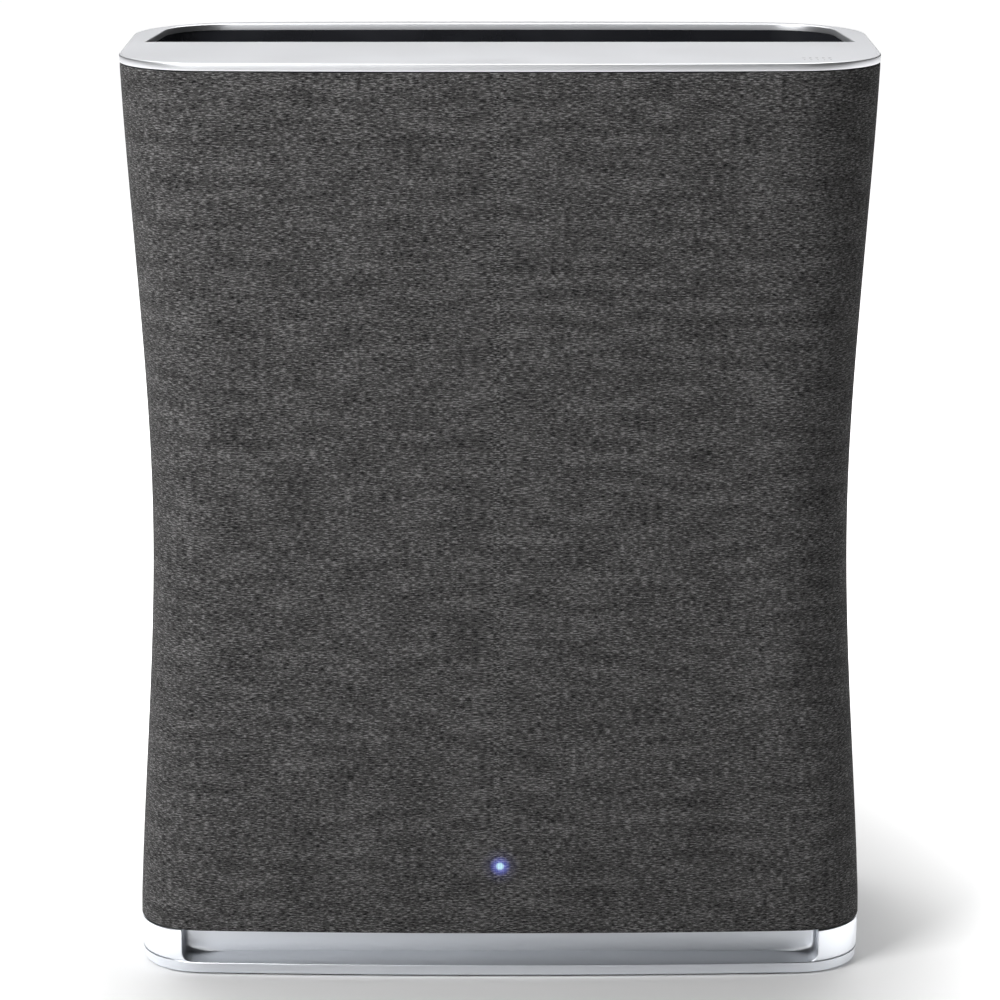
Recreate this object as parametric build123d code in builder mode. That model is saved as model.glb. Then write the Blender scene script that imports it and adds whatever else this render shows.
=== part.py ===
"""Floor-standing air purifier: a waisted, textile-covered body between a metal top and a metal base.

Millimetres. The origin is on the floor under the body's centre, +Z is up and the front faces -Y.
Air enters through the front textile, passes the filter cassette and the bell mouth, and is thrown up
by a radial fan through the slot in the top frame.
"""

from math import cos, hypot, pi, radians, sin, sqrt
import os

from build123d import *

os.makedirs("parts", exist_ok=True)

# Overall form
HEIGHT = 612.0
TOP_HALF_WIDTH = 248.0
WAIST_HALF_WIDTH = 231.1
FOOT_HALF_WIDTH = 243.0
WAIST_Z = 300.0
FOOT_Z = 40.0
HALF_DEPTH = 128.0
FACE_RADIUS = 3900.0  # the front and rear faces are slightly bowed
FLOOR_CORNER = 45.0
TOP_FRONT_CORNER = 60.0
TOP_BACK_CORNER = 76.0

# Levels
FOOT_HEIGHT = 1.2
PLATE_TOP = 8.5
BASE_TOP = 30.0
TRAY_TOP = 33.0
COVER_BOTTOM = 31.0
COVER_TOP = 606.3
DUCT_BOTTOM = 520.0
CARRIER_BOTTOM = 598.0
CARRIER_TOP = 604.0
SKIRT_BOTTOM = 607.0
LIP_BOTTOM = 607.7
SKIN_BOTTOM = 609.2

# Walls and gaps
TEXTILE = 1.5
COVER_WALL = 2.5
COVER_INSET = TEXTILE + COVER_WALL
BOND = 0.05  # adhesive film between a textile and its frame
INNER_INSET = 5.2  # outline of what stands inside the covers
SPLIT_Y = 50.0  # the front cover reaches back to this plane
SPLIT_GAP = 0.4
WALL = 3.0

# Top frame
OPENING_FRONT_Y = 0.0
OPENING_BACK_Y = 113.5
OPENING_HALF_WIDTH = 236.4
OPENING_TAPER = 11.0  # each side of the slot leans in by this much towards the back
OPENING_BOW = 3.0
OPENING_CORNER = 42.0
LIP_WIDTH = 2.6
DUCT_WALL = 1.8
TOP_CHAMFER = 0.8
BOSS_RADIUS = 4.5
SCREW_RADIUS = 1.5
SCREW_HOLE = 1.6

# Base recess
RECESS_HALF_WIDTH = 213.0
RECESS_DEPTH = 30.0
RECESS_FILLET = 6.0
PLATE_UNDERCUT = 2.0
BASE_INSET = 0.6

# Fan, with its axis along Y
AXIS_Z = 270.0
DECK_FRONT = -11.0
DECK_BACK = -8.0
REAR_PLATE_FRONT = 92.0
HOUSING_HALF_WIDTH = 215.0
SCROLL_START_RADIUS = 165.0
SCROLL_END_RADIUS = 208.0
SCROLL_START = 150.0
SCROLL_STEPS = 7
WHEEL_RADIUS = 150.0
EYE_RADIUS = 100.0
WHEEL_BACK = 80.0
BLADE_COUNT = 9
SHAFT_RADIUS = 4.0
SHAFT_CLEARANCE = 0.05

# Filter cassette
FILTER_HALF_WIDTH = 192.0
FILTER_BOTTOM = 98.0
FILTER_TOP = 570.0
FILTER_FRONT = -104.0
FILTER_BACK = -63.0
SEAT_Y = -59.0
SEAL_GAP = 0.3
BAY_CLEARANCE = 2.0
BAY_FRONT = -106.0
PLEAT_PITCH = 12.0
PLEAT_WALL = 1.6

STATUS_LIGHT_Z = 78.0
SENSOR_X = 165.0
SENSOR_Z = 140.0
CONTROL_X = 204.0
CONTROL_Y = -93.0
SYMBOL_PITCH = 4.2
MARK_DEPTH = 0.4


def save(part, name):
    """Labels a finished piece and writes its STEP file."""
    part.label = name
    export_step(part, f"parts/{name}.step")


def ease(t):
    """Share of the way from the waist to an end of the body, for a share t of the height."""
    return t * t * (2.2 - 1.2 * t)


def half_width(z):
    """Half of the body's width at a height."""
    if z >= WAIST_Z:
        t = (z - WAIST_Z) / (HEIGHT - WAIST_Z)
        return WAIST_HALF_WIDTH + (TOP_HALF_WIDTH - WAIST_HALF_WIDTH) * ease(t)
    t = min(1.0, (WAIST_Z - z) / (WAIST_Z - FOOT_Z))
    return WAIST_HALF_WIDTH + (FOOT_HALF_WIDTH - WAIST_HALF_WIDTH) * ease(t)


def face_y(x, inset=0.0):
    """Distance of the bowed face from the XZ plane at x, for a skin set in by inset."""
    radius = FACE_RADIUS - inset
    return HALF_DEPTH - inset - radius + sqrt(radius**2 - x**2)


def corner_points(width, inset, corner):
    """Where a corner's arc leaves the bowed face, its middle, and where it meets the straight side."""
    radius = FACE_RADIUS - inset
    bow_centre = HALF_DEPTH - FACE_RADIUS
    corner_x = width - corner
    corner_y = bow_centre + sqrt((radius - corner) ** 2 - corner_x**2)
    reach = hypot(corner_x, corner_y - bow_centre)
    touch = (corner_x * radius / reach, bow_centre + (corner_y - bow_centre) * radius / reach)
    middle = (corner_x + corner * cos(pi / 4), corner_y + corner * sin(pi / 4))
    return touch, middle, (width, corner_y)


def outline(z, inset=0.0, level=None):
    """The body's plan outline at height z, set in by inset, drawn at level (z where none is given)."""
    width = half_width(z) - inset
    rise = z / HEIGHT
    back_corner = FLOOR_CORNER + (TOP_BACK_CORNER - FLOOR_CORNER) * rise - inset
    front_corner = FLOOR_CORNER + (TOP_FRONT_CORNER - FLOOR_CORNER) * rise - inset
    back = corner_points(width, inset, back_corner)
    front = [(x, -y) for x, y in corner_points(width, inset, front_corner)]
    with BuildSketch(Plane.XY.offset(z if level is None else level)) as section:
        with BuildLine():
            for side in (1, -1):
                back_touch, back_middle, back_end = [(side * x, y) for x, y in back]
                front_touch, front_middle, front_end = [(side * x, y) for x, y in front]
                ThreePointArc(back_touch, back_middle, back_end)
                Line(back_end, front_end)
                ThreePointArc(front_end, front_middle, front_touch)
            for (x, y), middle in ((back[0], HALF_DEPTH - inset), (front[0], inset - HALF_DEPTH)):
                ThreePointArc((-x, y), (0, middle), (x, y))
        make_face()
    return section.sketch


def body_stations(bottom, top):
    """Heights of the sections that the waisted body is lofted through."""
    count = 9
    return [bottom + (top - bottom) * step / (count - 1) for step in range(count)]


def body_shell(bottom, top, outer_inset, inner_inset):
    """A waisted tube between two insets of the body's outline."""
    overrun = 2.0
    with BuildPart() as shell:
        loft(sections=[outline(z, outer_inset) for z in body_stations(bottom, top)])
        loft(
            sections=[outline(z, inner_inset) for z in body_stations(bottom - overrun, top + overrun)],
            mode=Mode.SUBTRACT,
        )
    return shell.part


def fan_plane(y, z=AXIS_Z):
    """A plane across the fan's axis whose extrusions run forwards, towards -Y."""
    return Plane(origin=(0, y, z), x_dir=(1, 0, 0), z_dir=(0, -1, 0))


def opening_sketch(grow=0.0):
    """The air slot's outline at the top, grown outwards by grow: straight in front, rounded behind."""
    front = OPENING_FRONT_Y - grow
    back = OPENING_BACK_Y + grow
    front_x = OPENING_HALF_WIDTH + grow
    back_x = front_x - OPENING_TAPER
    with BuildSketch() as slot:
        with BuildLine():
            left_end = (-back_x, back - OPENING_BOW)
            right_end = (back_x, back - OPENING_BOW)
            Polyline(left_end, (-front_x, front), (front_x, front), right_end)
            ThreePointArc(right_end, (0, back), left_end)
        make_face()
        fillet(slot.vertices().sort_by(Axis.Y)[-2:], OPENING_CORNER + grow)
    return slot.sketch


# ---------------------------------------------------------------- base
with BuildPart() as base_frame:
    loft(sections=[outline(0, PLATE_UNDERCUT, FOOT_HEIGHT), outline(0, BASE_INSET, PLATE_TOP)])
    add(outline(BASE_TOP, BASE_INSET, PLATE_TOP))
    extrude(amount=BASE_TOP - PLATE_TOP)
    recess_y = HALF_DEPTH - RECESS_DEPTH
    for side in (1, -1):
        with BuildSketch(Plane.XZ.offset(side * recess_y)):
            with Locations((0, PLATE_TOP + 30)):
                RectangleRounded(2 * RECESS_HALF_WIDTH, 60, RECESS_FILLET)
        extrude(amount=side * 60, mode=Mode.SUBTRACT)
    with BuildSketch(Plane.XY.offset(PLATE_TOP - 3)):
        Rectangle(2 * (RECESS_HALF_WIDTH + 14), 2 * (recess_y - WALL))
    extrude(amount=BASE_TOP, mode=Mode.SUBTRACT)
    with BuildSketch(Plane.XZ.offset(-recess_y)):
        with Locations((0, (PLATE_TOP + BASE_TOP) / 2)):
            Rectangle(24, 14)
    extrude(amount=WALL, mode=Mode.SUBTRACT)
    with Locations(*[(x, y, FOOT_HEIGHT) for x in (-190, 190) for y in (-80, 80)]):
        Cylinder(SCREW_HOLE, 20, align=(Align.CENTER, Align.CENTER, Align.MIN), mode=Mode.SUBTRACT)
save(base_frame.part, "base_frame")

foot_places = [(x, y) for x in (-200, 200) for y in (-92, 92)]
with BuildPart() as rubber_feet:
    with BuildSketch():
        with Locations(*foot_places):
            Circle(13)
    extrude(amount=FOOT_HEIGHT)
    fillet(rubber_feet.edges().group_by(Axis.Z)[0], 0.4)
save(rubber_feet.part, "rubber_feet")

tray_posts = [(x, y) for x in (-190, 190) for y in (-80, 80)]
with BuildPart() as bottom_tray:
    add(outline(BASE_TOP, INNER_INSET))
    extrude(amount=TRAY_TOP - BASE_TOP)
    with BuildSketch(Plane.XY.offset(PLATE_TOP - 3)):
        with Locations(*tray_posts):
            Circle(6)
    extrude(amount=BASE_TOP - PLATE_TOP + 3)
    with Locations(*[(x, y, 0) for x, y in tray_posts]):
        Cylinder(SCREW_HOLE, 24, align=(Align.CENTER, Align.CENTER, Align.MIN), mode=Mode.SUBTRACT)
save(bottom_tray.part, "bottom_tray")

with BuildPart() as base_screws:
    with BuildSketch(Plane.XY.offset(PLATE_TOP - 3)):
        with Locations(*tray_posts):
            Circle(SCREW_RADIUS)
    extrude(amount=16)
    with BuildSketch(Plane.XY.offset(FOOT_HEIGHT)):
        with Locations(*tray_posts):
            Circle(SCREW_RADIUS)
    extrude(amount=PLATE_TOP - 3 - FOOT_HEIGHT)
save(base_screws.part, "base_screws")

# Two-pin mains inlet in the rear wall of the base
inlet_z = (PLATE_TOP + BASE_TOP) / 2
with BuildPart() as mains_inlet:
    with BuildSketch(Plane.XZ.offset(-recess_y - 1.2)):
        with Locations((0, inlet_z)):
            RectangleRounded(28, 17, 2)
    extrude(amount=1.2)
    with BuildSketch(Plane.XZ.offset(-recess_y)):
        with Locations((0, inlet_z)):
            Rectangle(23.6, 13.6)
    extrude(amount=18)
    with BuildSketch(Plane.XZ.offset(-recess_y - 1.2)):
        with Locations((0, inlet_z)):
            SlotOverall(18, 9)
    extrude(amount=14, mode=Mode.SUBTRACT)
    fillet(mains_inlet.faces().sort_by(Axis.Y)[-1].outer_wire().edges(), 0.5)
save(mains_inlet.part, "mains_inlet")

with BuildPart() as inlet_pins:
    with BuildSketch(Plane.XZ.offset(-recess_y + 12.8)):
        with Locations((-4.3, inlet_z), (4.3, inlet_z)):
            Circle(1.2)
    extrude(amount=-10)
save(inlet_pins.part, "inlet_pins")

# ---------------------------------------------------------------- covers
WING_X = 195.0  # the cover's frame is a pierced panel between two wings that wrap the sides
window_columns, window_rows = 7, 9
with BuildPart() as front_cover_panel:
    add(body_shell(COVER_BOTTOM, COVER_TOP, TEXTILE + BOND, COVER_INSET))
    with Locations((0, -100, (COVER_BOTTOM + COVER_TOP) / 2)):
        Box(2 * WING_X, 100, COVER_TOP, mode=Mode.INTERSECT)
    with BuildSketch(Plane.XZ.offset(60)):
        with Locations((0, (COVER_BOTTOM + COVER_TOP) / 2)):
            with GridLocations(55, 57, window_columns, window_rows):
                RectangleRounded(46, 47, 5)
    extrude(amount=100, mode=Mode.SUBTRACT)
save(front_cover_panel.part, "front_cover_panel")

for side, name in ((-1, "front_cover_left_wing"), (1, "front_cover_right_wing")):
    with BuildPart() as cover_wing:
        add(body_shell(COVER_BOTTOM, COVER_TOP, TEXTILE + BOND, COVER_INSET))
        split(bisect_by=Plane.XZ.offset(-SPLIT_Y), keep=Keep.TOP)
        with Locations((side * (WING_X + 100), 0, (COVER_BOTTOM + COVER_TOP) / 2)):
            Box(200, 400, COVER_TOP, mode=Mode.INTERSECT)
    save(cover_wing.part, name)

with BuildPart() as front_fabric:
    add(body_shell(COVER_BOTTOM, COVER_TOP, 0, TEXTILE))
    split(bisect_by=Plane.XZ.offset(-SPLIT_Y), keep=Keep.TOP)
save(front_fabric.part, "front_fabric")

with BuildPart() as rear_cover_shell:
    add(body_shell(COVER_BOTTOM, COVER_TOP, TEXTILE + BOND, COVER_INSET))
    split(bisect_by=Plane.XZ.offset(-SPLIT_Y - SPLIT_GAP), keep=Keep.BOTTOM)
    with BuildSketch(Plane.XZ.offset(-90)):
        with Locations((SENSOR_X, SENSOR_Z)):
            Circle(14)
    extrude(amount=-60, mode=Mode.SUBTRACT)
save(rear_cover_shell.part, "rear_cover_shell")

with BuildPart() as rear_fabric:
    add(body_shell(COVER_BOTTOM, COVER_TOP, 0, TEXTILE))
    split(bisect_by=Plane.XZ.offset(-SPLIT_Y - SPLIT_GAP), keep=Keep.BOTTOM)
    with BuildSketch(Plane.XZ.offset(-90)):
        with Locations((SENSOR_X, SENSOR_Z)):
            Circle(14)
    extrude(amount=-60, mode=Mode.SUBTRACT)
save(rear_fabric.part, "rear_fabric")

sensor_back = face_y(SENSOR_X) + 0.8
with BuildPart() as sensor_grille:
    with BuildSketch(Plane.XZ.offset(-sensor_back)):
        with Locations((SENSOR_X, SENSOR_Z)):
            Circle(13.8)
    extrude(amount=6)
    with BuildSketch(Plane.XZ.offset(-sensor_back)):
        with Locations((SENSOR_X, SENSOR_Z)):
            with GridLocations(0, 4, 1, 5):
                SlotOverall(16, 1.8)
    extrude(amount=6, mode=Mode.SUBTRACT)
save(sensor_grille.part, "sensor_grille")

with BuildPart() as sensor_module:
    with Locations((SENSOR_X, sensor_back - 12, SENSOR_Z)):
        Box(38, 10, 38)
    fillet(sensor_module.edges().filter_by(Axis.Y), 3)
save(sensor_module.part, "sensor_module")

# ---------------------------------------------------------------- mid frame and fan housing
bay_half_width = FILTER_HALF_WIDTH + BAY_CLEARANCE
bay_bottom = FILTER_BOTTOM - BAY_CLEARANCE
bay_top = FILTER_TOP + BAY_CLEARANCE
bay_centre = (bay_bottom + bay_top) / 2
bay_height = bay_top - bay_bottom
with BuildPart() as mid_frame:
    with BuildSketch(Plane.XZ.offset(-DECK_BACK)):
        with Locations((0, (TRAY_TOP + CARRIER_BOTTOM) / 2)):
            Rectangle(2 * HOUSING_HALF_WIDTH, CARRIER_BOTTOM - TRAY_TOP)
        with Locations((0, AXIS_Z)):
            Circle(112, mode=Mode.SUBTRACT)
    extrude(amount=DECK_BACK - DECK_FRONT)
    with BuildSketch(Plane.XZ.offset(-DECK_FRONT)):
        with Locations((0, bay_centre)):
            Rectangle(2 * (bay_half_width + WALL), bay_height + 2 * WALL)
            Rectangle(2 * bay_half_width, bay_height, mode=Mode.SUBTRACT)
    extrude(amount=DECK_FRONT - BAY_FRONT)
    with BuildSketch(Plane.XZ.offset(-SEAT_Y - 3)):
        with Locations((0, bay_centre)):
            Rectangle(2 * bay_half_width, bay_height)
            Rectangle(2 * bay_half_width - 28, bay_height - 28, mode=Mode.SUBTRACT)
    extrude(amount=3)
save(mid_frame.part, "mid_frame")


def scroll_cavity(grow=0.0):
    """The scroll's inside outline with its flared outlet, grown by grow, about the fan's axis."""
    top = DUCT_BOTTOM - AXIS_Z
    turn = 360.0 - SCROLL_START
    points = []
    for step in range(SCROLL_STEPS):
        share = step / (SCROLL_STEPS - 1)
        radius = SCROLL_START_RADIUS + (SCROLL_END_RADIUS - SCROLL_START_RADIUS) * share + grow
        angle = radians(SCROLL_START + turn * share)
        points.append((radius * cos(angle), radius * sin(angle)))
    outlet = SCROLL_END_RADIUS + grow
    with BuildSketch() as cavity:
        with BuildLine():
            Spline(*points, tangents=((-sin(radians(SCROLL_START)), cos(radians(SCROLL_START))), (0, 1)))
            Polyline(points[-1], (outlet, top), (-outlet, top), (-outlet, top - 70), points[0])
        make_face()
    return cavity.sketch


with BuildPart() as fan_scroll:
    with BuildSketch(fan_plane(REAR_PLATE_FRONT)):
        add(scroll_cavity(WALL))
        add(scroll_cavity(), mode=Mode.SUBTRACT)
    extrude(amount=REAR_PLATE_FRONT - DECK_BACK)
save(fan_scroll.part, "fan_scroll")

motor_screw_circle = 52.0
with BuildPart() as rear_plate:
    with BuildSketch(Plane.XZ.offset(-REAR_PLATE_FRONT - WALL)):
        with Locations((0, (TRAY_TOP + DUCT_BOTTOM) / 2)):
            Rectangle(2 * HOUSING_HALF_WIDTH, DUCT_BOTTOM - TRAY_TOP)
        with Locations((0, AXIS_Z)):
            with PolarLocations(motor_screw_circle, 3):
                Circle(2.1, mode=Mode.SUBTRACT)
    extrude(amount=WALL)
save(rear_plate.part, "rear_plate")

with BuildPart() as inlet_ring:
    with BuildSketch(Plane.YZ):
        with BuildLine():
            ring_front = DECK_FRONT - 2
            Polyline((DECK_FRONT, AXIS_Z + 124), (ring_front, AXIS_Z + 124), (ring_front, AXIS_Z + 115))
            ThreePointArc((ring_front, AXIS_Z + 115), (-8, AXIS_Z + 101), (5, AXIS_Z + 94.5))
            Line((5, AXIS_Z + 94.5), (5, AXIS_Z + 96.5))
            ThreePointArc((5, AXIS_Z + 96.5), (-6.7, AXIS_Z + 102.5), (DECK_FRONT, AXIS_Z + 111.5))
            Line((DECK_FRONT, AXIS_Z + 111.5), (DECK_FRONT, AXIS_Z + 124))
        make_face()
    revolve(axis=Axis((0, 0, AXIS_Z), (0, 1, 0)))
save(inlet_ring.part, "inlet_ring")

guard_back = DECK_FRONT - 2.2
with BuildPart() as inlet_guard:
    with BuildSketch(fan_plane(guard_back)):
        for radius in (20, 40, 60, 80, 100, 120):
            Circle(radius)
            Circle(radius - 1.8, mode=Mode.SUBTRACT)
    extrude(amount=2)
    with BuildSketch(fan_plane(guard_back)):
        with PolarLocations(70, 8):
            Rectangle(98, 3)
    extrude(amount=2)
save(inlet_guard.part, "inlet_guard")

# ---------------------------------------------------------------- fan wheel and motor
with BuildPart() as impeller_wheel:
    with BuildSketch(fan_plane(WHEEL_BACK)):
        Circle(WHEEL_RADIUS)
        Circle(46, mode=Mode.SUBTRACT)
    extrude(amount=3)
    with BuildSketch(fan_plane(WHEEL_BACK)):
        Circle(50)
        Circle(46, mode=Mode.SUBTRACT)
    extrude(amount=22)
    with BuildSketch(fan_plane(WHEEL_BACK)):
        with PolarLocations(0, BLADE_COUNT):
            with BuildLine() as camber:
                ThreePointArc((72, 0), (118, 34), (147, 96 - 34))
            trace(camber.line, line_width=2.4)
        Circle(WHEEL_RADIUS - 0.5, mode=Mode.INTERSECT)
    extrude(amount=61)
save(impeller_wheel.part, "impeller_wheel")

shroud_back = WHEEL_BACK - 61
with BuildPart() as impeller_shroud:
    with BuildSketch(Plane.YZ):
        with BuildLine():
            Polyline((shroud_back, AXIS_Z + 150), (shroud_back - 2, AXIS_Z + 150))
            Line((shroud_back - 2, AXIS_Z + 150), (shroud_back - 4, AXIS_Z + 125))
            ThreePointArc((shroud_back - 4, AXIS_Z + 125), (8.5, AXIS_Z + 109), (3, AXIS_Z + 100))
            Line((3, AXIS_Z + 100), (5, AXIS_Z + 99))
            ThreePointArc((5, AXIS_Z + 99), (10.2, AXIS_Z + 107.5), (shroud_back, AXIS_Z + 124))
            Line((shroud_back, AXIS_Z + 124), (shroud_back, AXIS_Z + 150))
        make_face()
    revolve(axis=Axis((0, 0, AXIS_Z), (0, 1, 0)))
save(impeller_shroud.part, "impeller_shroud")


def ring(name, outer, inner, back, front):
    """A plain ring on the fan's axis from y = front to y = back, saved under a name."""
    with BuildPart() as piece:
        with BuildSketch(fan_plane(back)):
            Circle(outer)
            if inner:
                Circle(inner, mode=Mode.SUBTRACT)
        extrude(amount=back - front)
    save(piece.part, name)


with BuildPart() as rotor_can:
    with BuildSketch(fan_plane(74)):
        Circle(46)
    extrude(amount=46)
    fillet(rotor_can.edges().group_by(Axis.Y)[0], 4)
    with BuildSketch(fan_plane(74)):
        Circle(43)
    extrude(amount=43, mode=Mode.SUBTRACT)
save(rotor_can.part, "rotor_can")

ring("rotor_magnets", 43, 40, 72, 33)
ring("motor_shaft", SHAFT_RADIUS, 0, 88.5, 31)
ring("motor_laminations", 39.2, 16, 67, 39)

with BuildPart() as motor_windings:
    with BuildSketch(fan_plane(72)):
        with PolarLocations(28, 9):
            RectangleRounded(20, 11, 2)
    extrude(amount=5)
    with BuildSketch(fan_plane(39)):
        with PolarLocations(28, 9):
            RectangleRounded(20, 11, 2)
    extrude(amount=5)
save(motor_windings.part, "motor_windings")

with BuildPart() as motor_mount:
    with BuildSketch(fan_plane(REAR_PLATE_FRONT)):
        Circle(60)
        with PolarLocations(motor_screw_circle, 3):
            Circle(SCREW_HOLE, mode=Mode.SUBTRACT)
    extrude(amount=6)
    with BuildSketch(fan_plane(REAR_PLATE_FRONT)):
        Circle(16)
    extrude(amount=REAR_PLATE_FRONT - 36)
    with BuildSketch(fan_plane(REAR_PLATE_FRONT - 3)):
        Circle(10)
    extrude(amount=REAR_PLATE_FRONT - 3 - 36, mode=Mode.SUBTRACT)
save(motor_mount.part, "motor_mount")

with BuildPart() as motor_bearings:
    for back in (43, 88):
        with BuildSketch(fan_plane(back)):
            Circle(10)
            Circle(SHAFT_RADIUS + SHAFT_CLEARANCE, mode=Mode.SUBTRACT)
        extrude(amount=7)
save(motor_bearings.part, "motor_bearings")

with BuildPart() as motor_screws:
    with BuildSketch(fan_plane(REAR_PLATE_FRONT + WALL)):
        with PolarLocations(motor_screw_circle, 3):
            Circle(SCREW_RADIUS)
    extrude(amount=WALL + 5)
    with BuildSketch(fan_plane(REAR_PLATE_FRONT + WALL + 2)):
        with PolarLocations(motor_screw_circle, 3):
            Circle(3)
    extrude(amount=2)
save(motor_screws.part, "motor_screws")

# ---------------------------------------------------------------- filter cassette
filter_centre = (FILTER_BOTTOM + FILTER_TOP) / 2
filter_height = FILTER_TOP - FILTER_BOTTOM
with BuildPart() as filter_frame:
    with BuildSketch(Plane.XZ.offset(-FILTER_BACK)):
        with Locations((0, filter_centre)):
            Rectangle(2 * FILTER_HALF_WIDTH, filter_height)
            Rectangle(2 * FILTER_HALF_WIDTH - 8, filter_height - 8, mode=Mode.SUBTRACT)
    extrude(amount=FILTER_BACK - FILTER_FRONT)
save(filter_frame.part, "filter_frame")

media_half_width = FILTER_HALF_WIDTH - 4
media_bottom = FILTER_BOTTOM + 4
media_height = filter_height - 8
pleat_front, pleat_back = -89.0, -66.0
pleat_count = int(2 * media_half_width / PLEAT_PITCH)
with BuildPart() as hepa_pleats:
    with BuildSketch(Plane.XY.offset(media_bottom)):
        for column in range(pleat_count):
            x = (column - (pleat_count - 1) / 2) * PLEAT_PITCH
            slope = PLEAT_PITCH / 2
            with BuildLine():
                Polyline(
                    (x - slope, pleat_back),
                    (x, pleat_front + PLEAT_WALL * 2),
                    (x + slope, pleat_back),
                    (x + slope, pleat_back - PLEAT_WALL * 2),
                    (x, pleat_front),
                    (x - slope, pleat_back - PLEAT_WALL * 2),
                    close=True,
                )
            make_face()
    extrude(amount=media_height)
save(hepa_pleats.part, "hepa_pleats")

with BuildPart() as carbon_core:
    with Locations((0, -97, media_bottom + media_height / 2)):
        Box(2 * media_half_width, 12, media_height)
save(carbon_core.part, "carbon_core")

with BuildPart() as filter_gasket:
    with BuildSketch(Plane.XZ.offset(SEAL_GAP - SEAT_Y)):
        with Locations((0, filter_centre)):
            Rectangle(2 * FILTER_HALF_WIDTH - 2, filter_height - 2)
            Rectangle(2 * FILTER_HALF_WIDTH - 18, filter_height - 18, mode=Mode.SUBTRACT)
    extrude(amount=SEAT_Y - SEAL_GAP - FILTER_BACK)
save(filter_gasket.part, "filter_gasket")

with BuildPart() as filter_pull_tabs:
    for side in (1, -1):
        with Locations((side * (FILTER_HALF_WIDTH - 24), FILTER_FRONT - 0.6, filter_centre)):
            Box(44, 1.2, 22)
    fillet(filter_pull_tabs.edges().filter_by(Axis.Y), 6)
save(filter_pull_tabs.part, "filter_pull_tabs")

# ---------------------------------------------------------------- outlet
with BuildPart() as outlet_duct:
    with BuildSketch(Plane.XY.offset(DUCT_BOTTOM)):
        add(opening_sketch(DUCT_WALL))
        add(opening_sketch(), mode=Mode.SUBTRACT)
        with Locations((0, DECK_FRONT - 20)):
            Rectangle(600, 40, mode=Mode.SUBTRACT)
        with Locations((0, DECK_FRONT + 1.5)):
            Rectangle(2 * HOUSING_HALF_WIDTH, 3, mode=Mode.SUBTRACT)
    extrude(amount=CARRIER_BOTTOM - DUCT_BOTTOM)
    with BuildSketch(Plane.XY.offset(DUCT_BOTTOM)):
        add(opening_sketch(DUCT_WALL))
        with Locations((0, (REAR_PLATE_FRONT - 100) / 2)):
            Rectangle(2 * SCROLL_END_RADIUS, REAR_PLATE_FRONT + 100, mode=Mode.SUBTRACT)
        with Locations((0, DECK_FRONT - 20)):
            Rectangle(600, 40, mode=Mode.SUBTRACT)
        with Locations((0, DECK_FRONT + 1.5)):
            Rectangle(2 * HOUSING_HALF_WIDTH, 3, mode=Mode.SUBTRACT)
    extrude(amount=DUCT_WALL)
    with BuildSketch(Plane.XY.offset(CARRIER_BOTTOM)):
        add(opening_sketch(DUCT_WALL))
        add(opening_sketch(), mode=Mode.SUBTRACT)
    extrude(amount=LIP_BOTTOM - CARRIER_BOTTOM)
save(outlet_duct.part, "outlet_duct")

grille_top, grille_height = 580.0, 9.0
slat_count, rib_count = 11, 9
with BuildPart() as outlet_grille:
    with BuildSketch(Plane.XY.offset(grille_top - grille_height)) as grille_rim:
        add(opening_sketch(-0.5))
        add(opening_sketch(-3.0), mode=Mode.SUBTRACT)
    extrude(amount=grille_height)
    with BuildSketch(Plane.XY.offset(grille_top - grille_height)):
        with Locations((0, 49)):
            with GridLocations(0, 9, 1, slat_count):
                Rectangle(500, 2)
            with GridLocations(50, 0, rib_count, 1):
                Rectangle(2, 200)
        add(opening_sketch(-2.0), mode=Mode.INTERSECT)
    extrude(amount=grille_height)
save(outlet_grille.part, "outlet_grille")

screw_places = [(x, y) for x in (-75, 75) for y in (-60, -100)] + [(x, -60) for x in (-225, 225)]
with BuildPart() as top_carrier:
    add(outline(CARRIER_BOTTOM, INNER_INSET))
    extrude(amount=CARRIER_TOP - CARRIER_BOTTOM)
    with BuildSketch(Plane.XY.offset(CARRIER_BOTTOM)):
        add(opening_sketch(DUCT_WALL + 0.2))
    extrude(amount=CARRIER_TOP, mode=Mode.SUBTRACT)
    with Locations(*[(x, y, CARRIER_BOTTOM) for x, y in screw_places]):
        Cylinder(SCREW_HOLE, 20, align=(Align.CENTER, Align.CENTER, Align.MIN), mode=Mode.SUBTRACT)
save(top_carrier.part, "top_carrier")

# ---------------------------------------------------------------- top frame and controls
symbol_x = [CONTROL_X + SYMBOL_PITCH * step for step in (-2, -1, 0, 1, 2)]
with BuildPart() as touch_symbols:
    with BuildSketch(Plane.XY.offset(HEIGHT - MARK_DEPTH)):
        with Locations((symbol_x[0], CONTROL_Y), (symbol_x[-1], CONTROL_Y)):
            Rectangle(2.2, 0.7)
        with Locations((symbol_x[-1], CONTROL_Y)):
            Rectangle(0.7, 2.2)
        with Locations(*[(x, CONTROL_Y) for x in symbol_x[1:-1]]):
            Circle(0.9)
    extrude(amount=MARK_DEPTH)
save(touch_symbols.part, "touch_symbols")

with BuildPart() as indicator_lenses:
    with BuildSketch(Plane.XY.offset(SKIN_BOTTOM)):
        with Locations(*[(x, CONTROL_Y - 10) for x in symbol_x]):
            Circle(0.6)
    extrude(amount=HEIGHT - SKIN_BOTTOM)
save(indicator_lenses.part, "indicator_lenses")

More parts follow.
